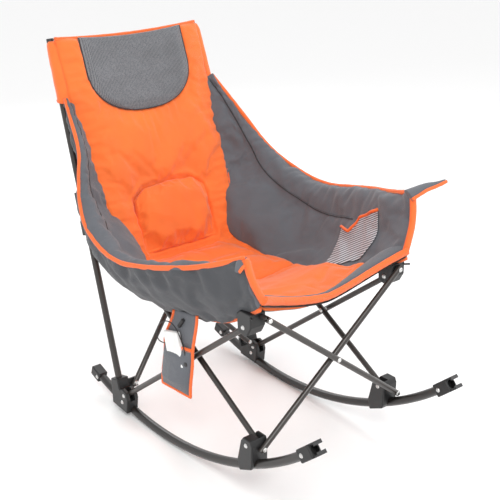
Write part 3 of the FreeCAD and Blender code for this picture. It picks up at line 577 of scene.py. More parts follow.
def laid_on(tree, point, inward, gap):
    """The place on a surface under a point, lifted a little off it."""
    hit = tree.ray_cast(point + inward * 0.06, -inward, 0.14)[0]
    return hit + inward * gap if hit else point


def surface(item):
    """A piece's skin, for laying other pieces on it."""
    points = [vertex.co for vertex in item.data.vertices]
    return BVHTree.FromPolygons(points, [face.vertices for face in item.data.polygons])


def displaced(item, amount):
    """Moves each point along its normal by amount(point, normal)."""
    mesh = item.data
    steps = [vertex.normal * amount(vertex.co, vertex.normal) for vertex in mesh.vertices]
    for vertex, step in zip(mesh.vertices, steps):
        vertex.co += step
    mesh.update()
    return item


def creased(item, amount, scale, seed, stretch=(1, 1, 1)):
    """Moves each point along its normal by one layer of creases."""
    return displaced(item, lambda point, normal: amount * wrinkle(point, scale, seed, stretch))


def tube_mesh(name, route, radius, material, around=10, flat=1.0, facing=None):
    """A tube along points. flat squeezes it across the way it faces, as for a folded tape."""
    points = []
    count = len(route)
    normal = None
    for i, point in enumerate(route):
        ahead = (route[min(i + 1, count - 1)] - route[max(i - 1, 0)]).normalized()
        if normal is None or facing is not None:
            guess = facing if facing is not None else Vector((0.31, 0.22, 0.93))
            normal = (guess - ahead * guess.dot(ahead)).normalized()
        else:
            normal = (normal - ahead * normal.dot(ahead)).normalized()
        side = ahead.cross(normal)
        for k in range(around):
            angle = 2 * math.pi * k / around
            points.append(
                point + normal * math.cos(angle) * radius + side * math.sin(angle) * radius * flat
            )
    faces = ring_faces(count, around)
    faces.append(tuple(range(around - 1, -1, -1)))
    faces.append(tuple(range((count - 1) * around, count * around)))
    return mesh_object(name, points, faces, material)


def joined(name, items):
    """Several meshes as one piece."""
    build = bmesh.new()
    slots = []
    for item in items:
        start = len(build.faces)
        build.from_mesh(item.data)
        build.faces.ensure_lookup_table()
        for face in build.faces[start:]:
            material = item.data.materials[face.material_index]
            if material not in slots:
                slots.append(material)
            face.material_index = slots.index(material)
    mesh = bpy.data.meshes.new(name)
    for material in slots:
        mesh.materials.append(material)
    build.to_mesh(mesh)
    build.free()
    for item in items:
        bpy.data.objects.remove(item)
    return linked(name, mesh)


# Along a stitch, in its lengths: each ring's share of the width, and how far it stands off the cloth.
STITCH_RINGS = ((-0.5, 0.35, 0), (-0.25, 1, 0.6), (0.25, 1, 0.6), (0.5, 0.35, 0))


def stitches(name, route, outward, material, pitch=0.0046, length=0.0032, width=0.0011):
    """A row of sewn stitches along points, on a surface that faces outward."""
    total = sum((b - a).length for a, b in zip(route, route[1:]))
    count = max(3, int(total / pitch))
    line = even(route, count)
    skin = ring_faces(len(STITCH_RINGS), 6)
    points = []
    faces = []
    for i in range(count - 1):
        ahead = (line[i + 1] - line[i]).normalized()
        normal = (outward - ahead * outward.dot(ahead)).normalized()
        side = ahead.cross(normal)
        first = len(points)
        for along, wide, rise in STITCH_RINGS:
            centre = line[i] + ahead * length * along
            for turn in range(6):
                angle = math.pi * turn / 3
                points.append(
                    centre
                    + side * math.cos(angle) * width / 2 * wide
                    + normal * (math.sin(angle) * width / 2 * wide + rise * width * 0.4)
                )
        faces += [tuple(first + corner for corner in face) for face in skin]
        faces.append(tuple(first + turn for turn in range(5, -1, -1)))
        faces.append(tuple(first + 18 + turn for turn in range(6)))
    return mesh_object(name, points, faces, material)


def ready(item, body, replaces=()):
    """Puts a finished piece on the body it rides, and hides the CAD parts it replaces."""
    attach(item, body)
    if replaces:
        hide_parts(*replaces)
    return item


def narrowed(item, body="sling", replaces=()):
    """A piece between the posts: puts it on the body it rides, hides what it replaces and gives it a mesh of
    its own.
    """
    ready(item, body, replaces)
    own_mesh(item)
    return item


# ---------------------------------------------------------------- the heater's lead
LEAD_ROUTE = [
    (-0.2844, -0.222, 0.334),
    (-0.2846, -0.221, 0.352),
    (-0.2860, -0.215, 0.376),
    (-0.2880, -0.206, 0.399),
    (-0.2890, -0.193, 0.417),
    (-0.2890, -0.173, 0.430),
    (-0.2880, -0.147, 0.429),
    (-0.2870, -0.121, 0.416),
    (-0.2860, -0.101, 0.399),
    (-0.2854, -0.089, 0.378),
    (-0.2850, -0.090, 0.358),
    (-0.2846, -0.103, 0.347),
    (-0.2844, -0.1293, 0.3542),
]


def lead():
    """The limp lead from the gland in the pocket up and over to its plug in the power bank."""
    data = bpy.data.curves.new("heater_lead_cord", "CURVE")
    data.dimensions = "3D"
    data.bevel_depth = 0.0015
    data.bevel_resolution = 4
    data.resolution_u = 12
    data.use_fill_caps = True
    spline = data.splines.new("NURBS")
    spline.points.add(len(LEAD_ROUTE) - 1)
    for point, place in zip(spline.points, LEAD_ROUTE):
        point.co = (*at(*place), 1)
    spline.order_u = 3
    spline.use_endpoint_u = True
    data.materials.append(MATERIALS["cable_black"])
    item = linked("heater_lead_cord", data)
    ready(item, "pocket", ["heater_lead"])
    tuple(at(*LEAD_ROUTE[0]))


lead()


# ---------------------------------------------------------------- padded back
HEADREST_HALF = 0.178
HEADREST_LOW = 0.460
HEADREST_ROUND = 0.135
LUMBAR_HALF = 0.125
LUMBAR_LOW = 0.035
LUMBAR_TOP = 0.225
BACK_WIDTHS = [(0.0, 0.176), (0.10, 0.205), (0.22, 0.226), (0.36, 0.240), (0.52, 0.246), (0.70, 0.247)]
BACK_ROWS = 96
BACK_COLUMNS = 72
FILM_THICK = 0.001


def headrest_edge(x):
    """How far up the headrest's lower edge is at x."""
    share = min(abs(x) / HEADREST_HALF, 1)
    return HEADREST_LOW + HEADREST_ROUND * (1 - (1 - share**2.3) ** (1 / 2.3))


def covered(x, up):
    """Whether the headrest panel or the lumbar cushion lies over the back here."""
    under_headrest = abs(x) < HEADREST_HALF and up > headrest_edge(x)
    lumbar_side = LUMBAR_HALF * 1.06
    under_lumbar = abs(x) < lumbar_side and LUMBAR_LOW < up < lumbar_seam(x)
    return under_headrest or under_lumbar


def back_depth(x, up):
    """The front face's height over the back's rear face."""
    if covered(x, up):
        return 0.0195
    half = curve_value(BACK_WIDTHS, up)
    edge = min(1.0, (half - abs(x)) / 0.06)
    crown = 0.021 + 0.010 * math.sin(math.pi / 2 * max(edge, 0)) ** 0.7
    if up > BACK_HEIGHT - 0.02:
        crown -= 0.010 * ((up - BACK_HEIGHT + 0.02) / 0.02) ** 2
    gap = abs(up - headrest_edge(x))
    if abs(x) < HEADREST_HALF:
        crown -= 0.005 * math.exp(-((gap / 0.007) ** 2))
        crown += 0.0052 * pucker(x * 62, gap, 0.030, 1)
    crown += 0.0046 * pucker(up * 58, max(half - abs(x), 0), 0.030, 2 if x > 0 else 3)
    seam = lumbar_seam(x)
    if abs(x) < LUMBAR_HALF + 0.01:
        crown -= 0.008 * math.exp(-(((up - seam) / 0.010) ** 2))
    return crown


def back_sag(up):
    """How far the back hangs rearwards between its foot and its top."""
    return 0.006 * math.sin(math.pi * up / BACK_HEIGHT)


def side_lift(share, up):
    """How far the lower back curves forward towards its side edges."""
    return 0.034 * abs(share) ** 3.0 * max(0.0, 1 - up / 0.42)


def lumbar_seam(x):
    """How far up the back the lumbar cushion's arched top seam is at x."""
    return LUMBAR_TOP + 0.012 - 0.9 * x * x - max(0.0, abs(x) - 0.085) * 0.5


def back_pad():
    """The orange padded panel from the seat up to the top seam."""

    def place(i, j):
        up = BACK_HEIGHT * i / (BACK_ROWS - 1)
        share = 2 * j / (BACK_COLUMNS - 1) - 1
        x = curve_value(BACK_WIDTHS, up) * share
        dip = 0.010 * (1 - share * share) * max(0, (up - 0.62) / 0.08)
        wings = side_lift(share, up)
        sag = back_sag(up)
        front = on_back(x, up - dip, back_depth(x, up) + wings - sag)
        return front, on_back(x, up - dip, 0.004 + wings - sag)

    def under(i, point):
        return covered(point.x, BACK_HEIGHT * i / (BACK_ROWS - 1))

    # The back cushion's rear face takes the darker copy of the grey fabric as painted shade.
    item = sheet_of("back_cushion", BACK_ROWS, BACK_COLUMNS, place, "orange_fabric", "painted_shade_fabric")
    simulate(item, sewn_round(BACK_ROWS, BACK_COLUMNS, 2, under), 1.6, 0.035, 0.014)
    subdivided(item)

    def creases(point, normal):
        gather = 0.35 + 0.65 * min(abs(point.x) / 0.23, 1) ** 2
        lower = 1.0 if point.z < 0.95 else 0.55
        broad = 0.0056 * wrinkle(point, 10, 2, (1.0, 1.0, 0.7))
        return (broad + 0.0015 * wrinkle(point, 28, 4)) * gather * lower

    displaced(item, creases)
    return narrowed(item, replaces=["back_pad"])


def headrest_width(up):
    """Half the headrest's width at a height: upright sides over a round lower edge."""
    share = min(1.0, max(0.0, (up - HEADREST_LOW) / HEADREST_ROUND))
    return HEADREST_HALF * (1 - (1 - share) ** 2.3) ** (1 / 2.3)


def headrest():
    """The dark mesh panel over the top of the back, fuller in its middle."""
    rows = 60
    columns = 60

    def place(i, j):
        share = 1 - math.cos(math.pi / 2 * i / (rows - 1))
        across = math.sin(math.pi / 2 * (2 * j / (columns - 1) - 1))
        low_up = HEADREST_LOW + 0.0004
        top = BACK_HEIGHT - 0.004 - 0.010 * (1 - across * across)
        up = low_up + (top - low_up) * share
        x = max(headrest_width(up), 0.004) * across
        reach = min((1 - abs(across)) * headrest_width(up), (up - HEADREST_LOW) * 0.8, top - up + 0.004)
        swell = min(1.0, max(0.0, reach) / 0.030)
        front = on_back(x, up, 0.0275 + 0.0085 * math.sin(math.pi / 2 * swell) ** 0.8)
        return front, on_back(x, up, 0.021)

    item = sheet_of("headrest_panel", rows, columns, place, "headrest_mesh")
    creased(item, 0.0010, 12, 7, (1, 1, 2.0))
    subdivided(item)
    narrowed(item, replaces=["headrest_mesh"])
    ups = [HEADREST_LOW + (BACK_HEIGHT - 0.006 - HEADREST_LOW) * t**2.2 for t in steps(0, 1, 50)]
    right = [on_back(headrest_width(up), up, 0.0285) for up in ups]
    left = [on_back(-headrest_width(up), up, 0.0285) for up in reversed(ups)]
    edge = tube_mesh("headrest_seam", even(left + right[1:], 140), 0.0014, "thread_dark", 8)
    narrowed(edge)


def lumbar():
    """The puffed cushion low on the back, tucked under its arched top seam."""
    rows = 46
    columns = 54

    def place(i, j):
        across = 2 * j / (columns - 1) - 1
        share = i / (rows - 1)
        x = LUMBAR_HALF * across * (1 + 0.10 * (1 - share))
        top = lumbar_seam(x) - 0.004
        up = LUMBAR_LOW + (top - LUMBAR_LOW) * share
        swell = max(0.0, (1 - across**4) * (1 - (2 * share - 1) ** 6)) ** 0.5
        return on_back(x, up, 0.027 + 0.017 * swell), on_back(x, up, 0.020)

    item = sheet_of("lumbar_cushion", rows, columns, place, "orange_fabric")
    simulate(item, sewn_round(rows, columns, 1), 2.0, 0.07, 0.012)
    subdivided(item)
    creased(item, 0.0036, 13, 11, (1.3, 1, 0.8))
    return narrowed(item, replaces=["lumbar_pad"])


def back_shell():
    """The plain fabric behind the back, from sleeve to sleeve."""
    rows = 60
    columns = 48

    def place(i, j):
        up = BACK_HEIGHT * i / (rows - 1) * 0.995
        half = curve_value(BACK_WIDTHS, up) - 0.001
        sag = back_sag(up)
        share = 2 * j / (columns - 1) - 1
        wings = side_lift(share, up)
        front = on_back(half * share, up, 0.0035 + wings - sag)
        puff = 0.0030 + 0.0022 * wrinkle(front, 8, 21, (1, 1, 0.6))
        return front, on_back(half * share, up, 0.0035 - puff + wings - sag)

    item = sheet_of("back_shell", rows, columns, place, "grey_fabric")
    subdivided(item)
    return narrowed(item, replaces=["back_liner"])


def film(name, node, half, low, high, point):
    """A thin heating film with its printed bars, hidden under a pad."""
    rows = 12
    columns = 20
    xs = steps(-half, half, columns)
    along = steps(low, high, rows)

    def place(i, j):
        return point(xs[j], along[i], FILM_THICK), point(xs[j], along[i], 0)

    item = sheet_of(name, rows, columns, place, "heating_film")
    return narrowed(item, replaces=[node])


def films():
    """The back's film and the seat's, each from its low edge to its high one."""

    def in_back(x, up, rise):
        return on_back(x, up, 0.0115 + rise)

    def in_seat(x, y, rise):
        return at(x, y, 0.4275 + rise)

    film("back_film", "back_heating_film", 0.105, 0.03, 0.28, in_back)
    film("seat_film", "seat_heating_film", 0.125, -0.095, 0.12, in_seat)


def pad_face_y(z):
    """Where the padded back's front face is at a height, near its edge."""
    up = (z - BACK_FOOT.z) / BACK_UP.z
    return on_back(0, up, 0.021).y


def sleeve(side, sign):
    """The orange pocket over the top of a post, closed above and drawn forward to the padded back."""
    rows = 40
    around = 28
    low = 0.905
    high = 1.079
    points = []
    for i in range(rows):
        up = low + (high - low) * i / (rows - 1)
        centre = on_post(sign * POST_X, up)
        closing = max(0.0, (i - rows + 5) / 4)
        radius = 0.0135 * (1 - 0.55 * closing**2)
        for k in range(around):
            angle = 2 * math.pi * k / around
            out = Vector((math.cos(angle), math.sin(angle), 0))
            forward = max(0.0, -math.sin(angle))
            meets = (centre.y - pad_face_y(centre.z)) * 0.97
            reach = radius + (meets - radius) * forward**1.5 * (1 - 0.4 * closing)
            point = centre + out * reach
            point += out * 0.0011 * wrinkle(point, 26, 31 + sign)
            points.append(point)
    faces = ring_faces(rows, around)
    faces.append(tuple((rows - 1) * around + k for k in range(around)))
    item = mesh_object(f"post_sleeve_{side}", points, faces, "orange_fabric")
    wall = item.modifiers.new("wall", "SOLIDIFY")
    wall.thickness = 0.0016
    wall.offset = -1
    applied(item)
    subdivided(item)
    ring = [points[k % around] + POST_UP * 0.002 for k in range(around + 1)]
    band = tube_mesh(f"sleeve_hem_{side}", ring, 0.0022, "orange_binding", 8)
    ready(band, f"post_{side}")
    return ready(item, f"post_{side}")


def back_piping():
    """The folded orange tape along the back's top edge and down its sides."""
    line = []
    for x in steps(-0.246, 0.246, 60):
        dip = 0.010 * (1 - (x / 0.246) ** 2)
        line.append(on_back(x, BACK_HEIGHT + 0.002 - dip, 0.012))
    top = tube_mesh("back_top_binding", line, 0.0052, "orange_binding", 12, 1.5, BACK_UP)
    creased(top, 0.0006, 40, 41)
    narrowed(top)
    sewn = [point + BACK_FORWARD * 0.0092 - BACK_UP * 0.004 for point in line]
    narrowed(stitches("back_top_stitches", sewn, BACK_FORWARD, "thread_light"))
    for side, sign in SIDES:
        line = [
            on_back(sign * (curve_value(BACK_WIDTHS, up) + 0.001), up, 0.016 + side_lift(1.0, up))
            for up in steps(0.0, 0.69, 80)
        ]
        cord = tube_mesh(f"back_side_piping_{side}", line, 0.0020, "orange_binding", 10)
        narrowed(cord)


back_pad()
headrest()
lumbar()
back_shell()
films()
for side, sign in SIDES:
    sleeve(side, sign)
back_piping()


# ---------------------------------------------------------------- seat
SEAT_HALF = 0.205
SEAT_FOLD_Y = -0.110


def seat_level(y):
    """Height of the seat's underside along its middle, which dips and then climbs to the front edge."""
    return curve_value([(-0.44, 0.487), (-0.30, 0.458), (-0.11, 0.421), (0.05, 0.413), (0.17, 0.424)], y)


def seat_point(x, y, rise):
    """A point over the sagging seat: its sides climb a little, and its front edge climbs to the corners."""
    share = abs(x) / SEAT_HALF
    corner = 0.052 * share**2.2 * max(0.0, (-y - 0.18) / 0.26) ** 1.4
    return at(x, y, seat_level(y) + 0.010 * share**2 + corner + rise)


def seat_half(name, rear_y, front_y, seed, beneath):
    """One padded half of the seat, from rear_y to front_y."""
    rows = 44
    columns = 60

    def place(i, j):
        y = rear_y + (front_y - rear_y) * i / (rows - 1)
        share = 2 * j / (columns - 1) - 1
        x = SEAT_HALF * share
        ends = min(i, rows - 1 - i) / 3
        side = min(1.0, (1 - abs(share)) / 0.10)
        height = 0.013 + 0.016 * min(1.0, ends) ** 0.6 * max(0.0, side) ** 0.5
        return seat_point(x, y, height), seat_point(x, y, 0.002)

    item = sheet_of(name, rows, columns, place, "orange_fabric", beneath)
    simulate(item, sewn_round(rows, columns, 2), 1.5, 0.03, 0.010)
    subdivided(item)
    creased(item, 0.0042, 10, seed, (0.8, 1.2, 1))
    return item


EDGE_HALF = 0.252


def front_edge(x, forward, drop):
    """A point along the front edge, which hangs between the seat's corners: forward of it and below it."""
    share = abs(x) / EDGE_HALF
    y = -0.460 - 0.040 * share**3
    z = 0.538 + 0.075 * share**1.6
    return at(x, y - forward, z - drop)


def front_band():
    """The grey strip and the wide orange hem along the seat's front edge, with webbing beneath."""
    xs = steps(-0.250, 0.250, 120)
    profile = [(1.0, 1.0), (0.78, 0.60), (0.52, 0.24), (0.24, 0.03), (0.06, 0.05)]

    def place(i, j):
        reach, fall = profile[i]
        share = abs(xs[j]) / EDGE_HALF
        back = -reach * (0.040 + 0.062 * share**1.3)
        drop = fall * (0.026 + 0.020 * share)
        return front_edge(xs[j], back, drop), front_edge(xs[j], back + 0.001, drop + 0.007)

    strip = sheet_of("seat_front_band", len(profile), len(xs), place, "grey_fabric")
    subdivided(strip)
    creased(strip, 0.0012, 22, 61)
    narrowed(strip, "seat_front")
    line = [front_edge(x, 0.002, 0.009) for x in xs]
    slope = Vector((0, -0.35, 0.94))
    hem = tube_mesh("seat_front_hem", line, 0.0125, "orange_binding", 16, 0.5, slope)
    creased(hem, 0.0011, 26, 62)
    narrowed(hem, "seat_front", ["front_hem"])
    sewn = [front_edge(x, 0.0075, 0.002) for x in xs]
    rows = stitches("seat_hem_stitches", sewn, Vector((0, -0.94, 0.35)), "thread_light")
    narrowed(rows, "seat_front")
    line = [front_edge(x, -0.010, 0.026) for x in xs]
    upright = Vector((0, 1, 0.1))
    belt = tube_mesh("seat_front_webbing", line, 0.0100, "black_webbing", 10, 0.17, upright)
    narrowed(belt, "seat_front")


rear_half = seat_half("seat_cushion", 0.185, SEAT_FOLD_Y, 51, "orange_fabric")
narrowed(rear_half, replaces=["seat_pad"])
# The front half's underside takes the darker copy of the grey fabric as painted shade.
front_half = seat_half("seat_front_cushion", SEAT_FOLD_Y, -0.404, 52, "painted_shade_fabric")
narrowed(front_half, "seat_front", ["front_pad"])
front_band()


# ---------------------------------------------------------------- side panels
def back_edge(up):
    """A point tucked under the padded back's side edge, from the rails' floor line."""
    point = BACK_FOOT + BACK_UP * up + BACK_FORWARD * (0.010 + side_lift(1.0, up))
    return (curve_value(BACK_WIDTHS, up) - 0.016, point.y, point.z)


# Each station, from the shoulder forward, for the sitter's left: where the panel meets the back or seat,
# its top edge, and its lower outer edge. The top edge on the sitter's right is lower by the last number.
STATIONS = [
    (back_edge(0.520), (0.264, 0.372, 0.926), (0.258, 0.384, 0.912), 0.0),
    (back_edge(0.440), (0.281, 0.315, 0.872), (0.259, 0.344, 0.842), -0.008),
    (back_edge(0.325), (0.300, 0.248, 0.808), (0.258, 0.302, 0.728), 0.0),
    (back_edge(0.225), (0.328, 0.208, 0.748), (0.252, 0.266, 0.632), 0.004),
    (back_edge(0.130), (0.352, 0.168, 0.704), (0.242, 0.226, 0.540), 0.014),
    (back_edge(0.040), (0.374, 0.105, 0.668), (0.230, 0.190, 0.452), 0.026),
    ((0.192, 0.090, 0.432), (0.384, 0.020, 0.646), (0.224, 0.095, 0.424), 0.036),
    ((0.200, -0.020, 0.430), (0.384, -0.065, 0.646), (0.221, -0.020, 0.422), 0.048),
    ((0.200, -0.130, 0.440), (0.377, -0.160, 0.666), (0.222, -0.130, 0.432), 0.054),
    ((0.202, -0.240, 0.466), (0.360, -0.260, 0.690), (0.225, -0.245, 0.456), 0.054),
    ((0.214, -0.350, 0.514), (0.328, -0.360, 0.714), (0.234, -0.356, 0.496), 0.050),
    ((0.247, -0.492, 0.598), (0.285, -0.472, 0.750), (0.256, -0.490, 0.580), 0.040),
]
# Where the inner face must pass inside of the frame's side link, by station.
KNEES = {
    4: (0.215, 0.230, 0.606),
    5: (0.214, 0.180, 0.574),
    6: (0.214, 0.068, 0.512),
    7: (0.214, -0.030, 0.462),
}
PANEL_LENGTH = 110
PANEL_HALF = 26
PANEL_THICK = 0.013
# The padded roll along the inside of a rim stands fuller and higher on the sitter's right.
ROLL = {1: 0.020, -1: 0.028}
ROLL_RISE = {1: 0.35, -1: 0.60}


def station_lines(sign):
    """Smooth lines along a panel: its inner edge, top edge, lower outer edge and its inner face's knee."""
    parts = []
    for part in range(3):
        points = []
        for station in STATIONS:
            x, y, z = station[part]
            sag = station[3] if part == 1 and sign < 0 else 0.0
            points.append(at(sign * x, y, z - sag))
        parts.append(points)
    knees = []
    for number, (inner, top) in enumerate(zip(parts[0], parts[1])):
        if number in KNEES:
            x, y, z = KNEES[number]
            knees.append(at(sign * x, y, z))
        else:
            knees.append(inner.lerp(top, 0.4))
    parts.append(knees)
    return [stationed(points) for points in parts]


def stationed(points):
    """A smooth line with the same count of points between each pair of stations."""
    line = []
    last = len(points) - 1
    for i in range(PANEL_LENGTH):
        place = i / (PANEL_LENGTH - 1) * last
        low = min(int(place), last - 1)
        line.append(catmull(points, low, place - low))
    return line


def panel_section(sign, inner, top, outer, knee, along):
    """One section of a panel as an even count of points: up its inner face, over the top, down its outer."""
    across = (top - inner).normalized()
    out = Vector((sign, 0, 0))
    out = (out - across * out.dot(across)).normalized()
    full = math.sin(math.pi * min(1.0, along * 1.15 + 0.12)) ** 0.5 if along < 0.76 else 0.85
    forward = curve_value([(0.40, 0.0), (0.62, 1.0), (1.0, 0.6)], along)
    bowl = 0.003 + 0.018 * forward
    fat = PANEL_THICK * (0.45 + 0.55 * full)
    roll = ROLL[sign] * curve_value([(0.10, 0.35), (0.45, 1.0), (0.86, 1.0), (1.0, 0.25)], along)
    inside = []
    outside = []
    face = smooth([inner, knee, top], PANEL_HALF)
    seam = seam_share(along)
    for k in range(PANEL_HALF):
        t = k / (PANEL_HALF - 1)
        bulge = math.sin(math.pi * min(1.0, max(0.0, (t - 0.70) / 0.30))) ** 0.7
        gather = 0.0055 * pucker(along * 62, 1 - t, 0.22, 5 + sign) + 0.0045 * pucker(along * 50, t, 0.18, 8)
        gather += 0.0055 * pucker(along * 46, abs(t - seam), 0.15, 11 + sign)
        round_top = math.sqrt(max(0.0, 1 - max(0.0, (t - 0.93) / 0.07) ** 2))
        dip = out * bowl * math.sin(math.pi * t)
        puff = fat * (0.42 + 0.58 * math.sin(math.pi * min(t * 1.05, 1)) ** 0.6) * round_top
        lift = across * roll * ROLL_RISE[sign] * bulge
        inside.append(face[k] + dip + lift - out * (puff * 0.55 + roll * bulge + gather))
        low = outer.lerp(top, t)
        belly = (0.002 + 0.010 * forward) * math.sin(math.pi * t)
        fold = 0.0075 * pucker(along * 34, 1 - t, 0.45, 14) + 0.0065 * pucker(along * 26, t, 0.40, 17)
        outside.append(low + out * (belly + fat * 0.35 * round_top + fold))
    return inside + outside[::-1]


def panel_sections(sign):
    """Every section of a panel, from the shoulder forward."""
    lines = zip(*station_lines(sign))
    return [panel_section(sign, *points, i / (PANEL_LENGTH - 1)) for i, points in enumerate(lines)]


def side_panel(side, sign):
    """The padded grey wing from the shoulder round to the front of the arm."""
    count = PANEL_HALF * 2
    points = [point for section in panel_sections(sign) for point in section]
    faces = ring_faces(PANEL_LENGTH, count)
    for i in (0, PANEL_LENGTH - 1):
        for k in range(PANEL_HALF - 1):
            a = i * count + k
            b = i * count + count - 1 - k
            faces.append((a, a + 1, b - 1, b))
    item = mesh_object(f"wing_panel_{side}", points, faces, "grey_fabric")
    # Only the near panel's outer face (the sitter's right) takes the darker copy of the grey fabric, as
    # painted shade; the far panel's outer face stays grey.
    item.data.materials.append(MATERIALS["painted_shade_fabric"])
    for polygon in item.data.polygons:
        ring_places = [vertex % count for vertex in polygon.vertices]
        if min(ring_places) >= PANEL_HALF:
            polygon.material_index = 1 if sign < 0 else 0

    def holds(index, point):
        i, k = divmod(index, count)
        if i in (0, PANEL_LENGTH - 1) or k in (0, PANEL_HALF - 1, PANEL_HALF, count - 1):
            return 1.0
        t = (k if k < PANEL_HALF else count - 1 - k) / (PANEL_HALF - 1)
        if k < PANEL_HALF and abs(t - seam_share(i / (PANEL_LENGTH - 1))) < 0.022:
            return 0.95
        return 0.0

    simulate(item, holds, 0.9, 0.045, 0.013)
    subdivided(item)

    def creases(point, normal):
        level = 0.0078 if normal.x * sign > 0.2 else 0.0042
        return level * wrinkle(point, 9, 71 + sign, (1.0, 1.4, 0.8)) + 0.0010 * wrinkle(point, 25, 73)

    displaced(item, creases)
    return item


def seam_share(along):
    """Where the sewn line runs over a panel's inner face: near the top edge behind, lower down in front."""
    stops = [(0.0, 0.62), (0.10, 0.74), (0.36, 0.74), (0.55, 0.73), (0.72, 0.66), (1.0, 0.58)]
    return curve_value(stops, along)


def panel_seam(side, sign, tree):
    """The dark sewn line along the inside of the arm, with its stitches."""
    sections = panel_sections(sign)
    line = []
    for i in range(3, int(PANEL_LENGTH * 0.80)):
        place = seam_share(i / (PANEL_LENGTH - 1)) * (PANEL_HALF - 1)
        low = int(place)
        line.append(sections[i][low].lerp(sections[i][low + 1], place - low))
    out = Vector((-sign * 0.75, 0, 0.66)).normalized()
    line = [laid_on(tree, point, out, 0.0008) for point in even(line, 180)]
    cord = tube_mesh(f"wing_seam_cord_{side}", line, 0.0015, "thread_dark", 8)
    above = [point + Vector((0, 0, 0.005)) for point in line]
    rows = stitches(f"wing_seam_{side}", above, out, "thread_dark")
    return joined(f"wing_seam_line_{side}", [cord, rows])


def binding(name, line, radius, facing, flat):
    """A folded orange tape over an edge, slightly uneven."""
    tape = tube_mesh(name + "_tape", line, radius, "orange_binding", 12, flat, facing)
    creased(tape, 0.0007, 34, 81)
    return tape


def panel_bindings(side, sign):
    """The orange tapes over a panel's rim, its front edge and the hem below."""
    inner, top, outer = station_lines(sign)[:3]
    rise = Vector((0, 0, 1))
    line = [point + rise * 0.0015 for point in even(top, 200)]
    edge = binding(f"rim_{side}", line, 0.0068, rise, 0.75)
    sewn = [point + Vector((-sign * 0.0052, 0, -0.0010)) for point in line]
    rows = stitches(f"rim_stitches_{side}", sewn, Vector((-sign, 0, 0.3)), "thread_light")
    front = smooth([top[-1], top[-1].lerp(inner[-1], 0.5) + Vector((sign * 0.008, -0.004, 0)), inner[-1]], 60)
    front = [point + Vector((0, -0.003, 0)) for point in front]
    lead_edge = binding(f"front_{side}", front, 0.0085, Vector((0, -1, 0.1)), 1.15)
    hem_line = [point + Vector((0, 0, -0.003)) for point in even(outer[24:], 170)]
    hem = binding(f"hem_{side}", hem_line, 0.0070, Vector((sign, 0, -0.2)), 0.9)
    return joined(f"wing_binding_{side}", [edge, rows, lead_edge, hem])


# The sitter's left tip reaches up and out, and the right one is short and curls under.
HORN_LEFT = [
    (0.276, -0.466, 0.742),
    (0.296, -0.474, 0.7505),
    (0.322, -0.483, 0.760),
    (0.350, -0.4944, 0.7655),
    (0.378, -0.506, 0.7735),
]
HORN_RIGHT = [
    (-0.278, -0.462, 0.700),
    (-0.288, -0.466, 0.700),
    (-0.298, -0.470, 0.697),
    (-0.306, -0.474, 0.692),
    (-0.312, -0.477, 0.686),
]
HORNS = {1: (HORN_LEFT, 0.021, 0.0115), -1: (HORN_RIGHT, 0.012, 0.008)}


def horn(side, sign):
    """The tapered tip of the arm, from the front of the panel."""
    spine, root_wide, root_thick = HORNS[sign]
    line = smooth([at(*place) for place in spine], 40)
    rows = len(line)
    around = 20
    points = []
    for i, centre in enumerate(line):
        t = i / (rows - 1)
        wide = root_wide * (1 - t) + 0.005
        thick = root_thick * (1 - t) + 0.0036
        ahead = (line[min(i + 1, rows - 1)] - line[max(i - 1, 0)]).normalized()
        side_way = Vector((0.45 * sign, 0.85, 0.1))
        side_way = (side_way - ahead * side_way.dot(ahead)).normalized()
        up = ahead.cross(side_way) * sign
        for k in range(around):
            angle = 2 * math.pi * k / around
            point = centre + side_way * math.cos(angle) * wide + up * math.sin(angle) * thick
            points.append(point)
    faces = ring_faces(rows, around)
    faces.append(tuple(range(around)))
    faces.append(tuple((rows - 1) * around + k for k in range(around)))
    item = mesh_object(f"arm_horn_{side}", points, faces, "grey_fabric")
    subdivided(item)
    creased(item, 0.0012, 24, 91)
    front = [points[i * around + around // 2] for i in range(rows)]
    tape = binding(f"horn_{side}", front, 0.0050, Vector((0, -0.3, 1)), 0.8)
    return joined(f"arm_tip_{side}", [item, tape])


def wing(side, sign):
    """One side's panel with its seam, bindings and tip; gives the panel's skin."""
    panel = side_panel(side, sign)
    skin = surface(panel)
    for piece in (panel, panel_seam(side, sign, skin), panel_bindings(side, sign), horn(side, sign)):
        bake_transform(piece)
    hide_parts(f"side_panel_{side}", f"shoulder_{side}")
    return skin


wing_skins = {side: wing(side, sign) for side, sign in SIDES}


# ---------------------------------------------------------------- pockets
def mesh_pocket(tree):
    """The open mesh pocket inside the sitter's left arm, bound in orange along its notched mouth."""
    corners = [
        [(0.305, -0.1925, 0.569), (0.255, -0.206, 0.519), (0.206, -0.217, 0.470)],
        [(0.292, -0.234, 0.568), (0.255, -0.262, 0.538), (0.218, -0.270, 0.497)],
        [(0.311, -0.266, 0.614), (0.270, -0.300, 0.565), (0.226, -0.318, 0.521)],
        [(0.308, -0.338, 0.6565), (0.264, -0.366, 0.598), (0.231, -0.348, 0.540)],
    ]
    columns = [smooth([at(*point) for point in column], 26) for column in corners]
    grid = []
    for i in range(26):
        row = [column[i] for column in columns]
        grid.append(even(row, 34) if i < 3 else smooth(row, 34))
    inward = Vector((-0.8, -0.1, 0.55)).normalized()
    front = [[laid_on(tree, point, inward, 0.0045) for point in row] for row in grid]
    rear = [[point - inward * 0.0015 for point in row] for row in front]
    item = closed_sheet("mesh_pocket_panel", front, rear, "pocket_mesh")
    subdivided(item)
    mouth = binding("mesh_pocket_mouth", front[0], 0.0052, inward, 0.8)
    for piece in (item, mouth):
        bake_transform(piece)
    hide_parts("mesh_pocket")


mesh_pocket(wing_skins["l"])

POCKET_X = -0.272


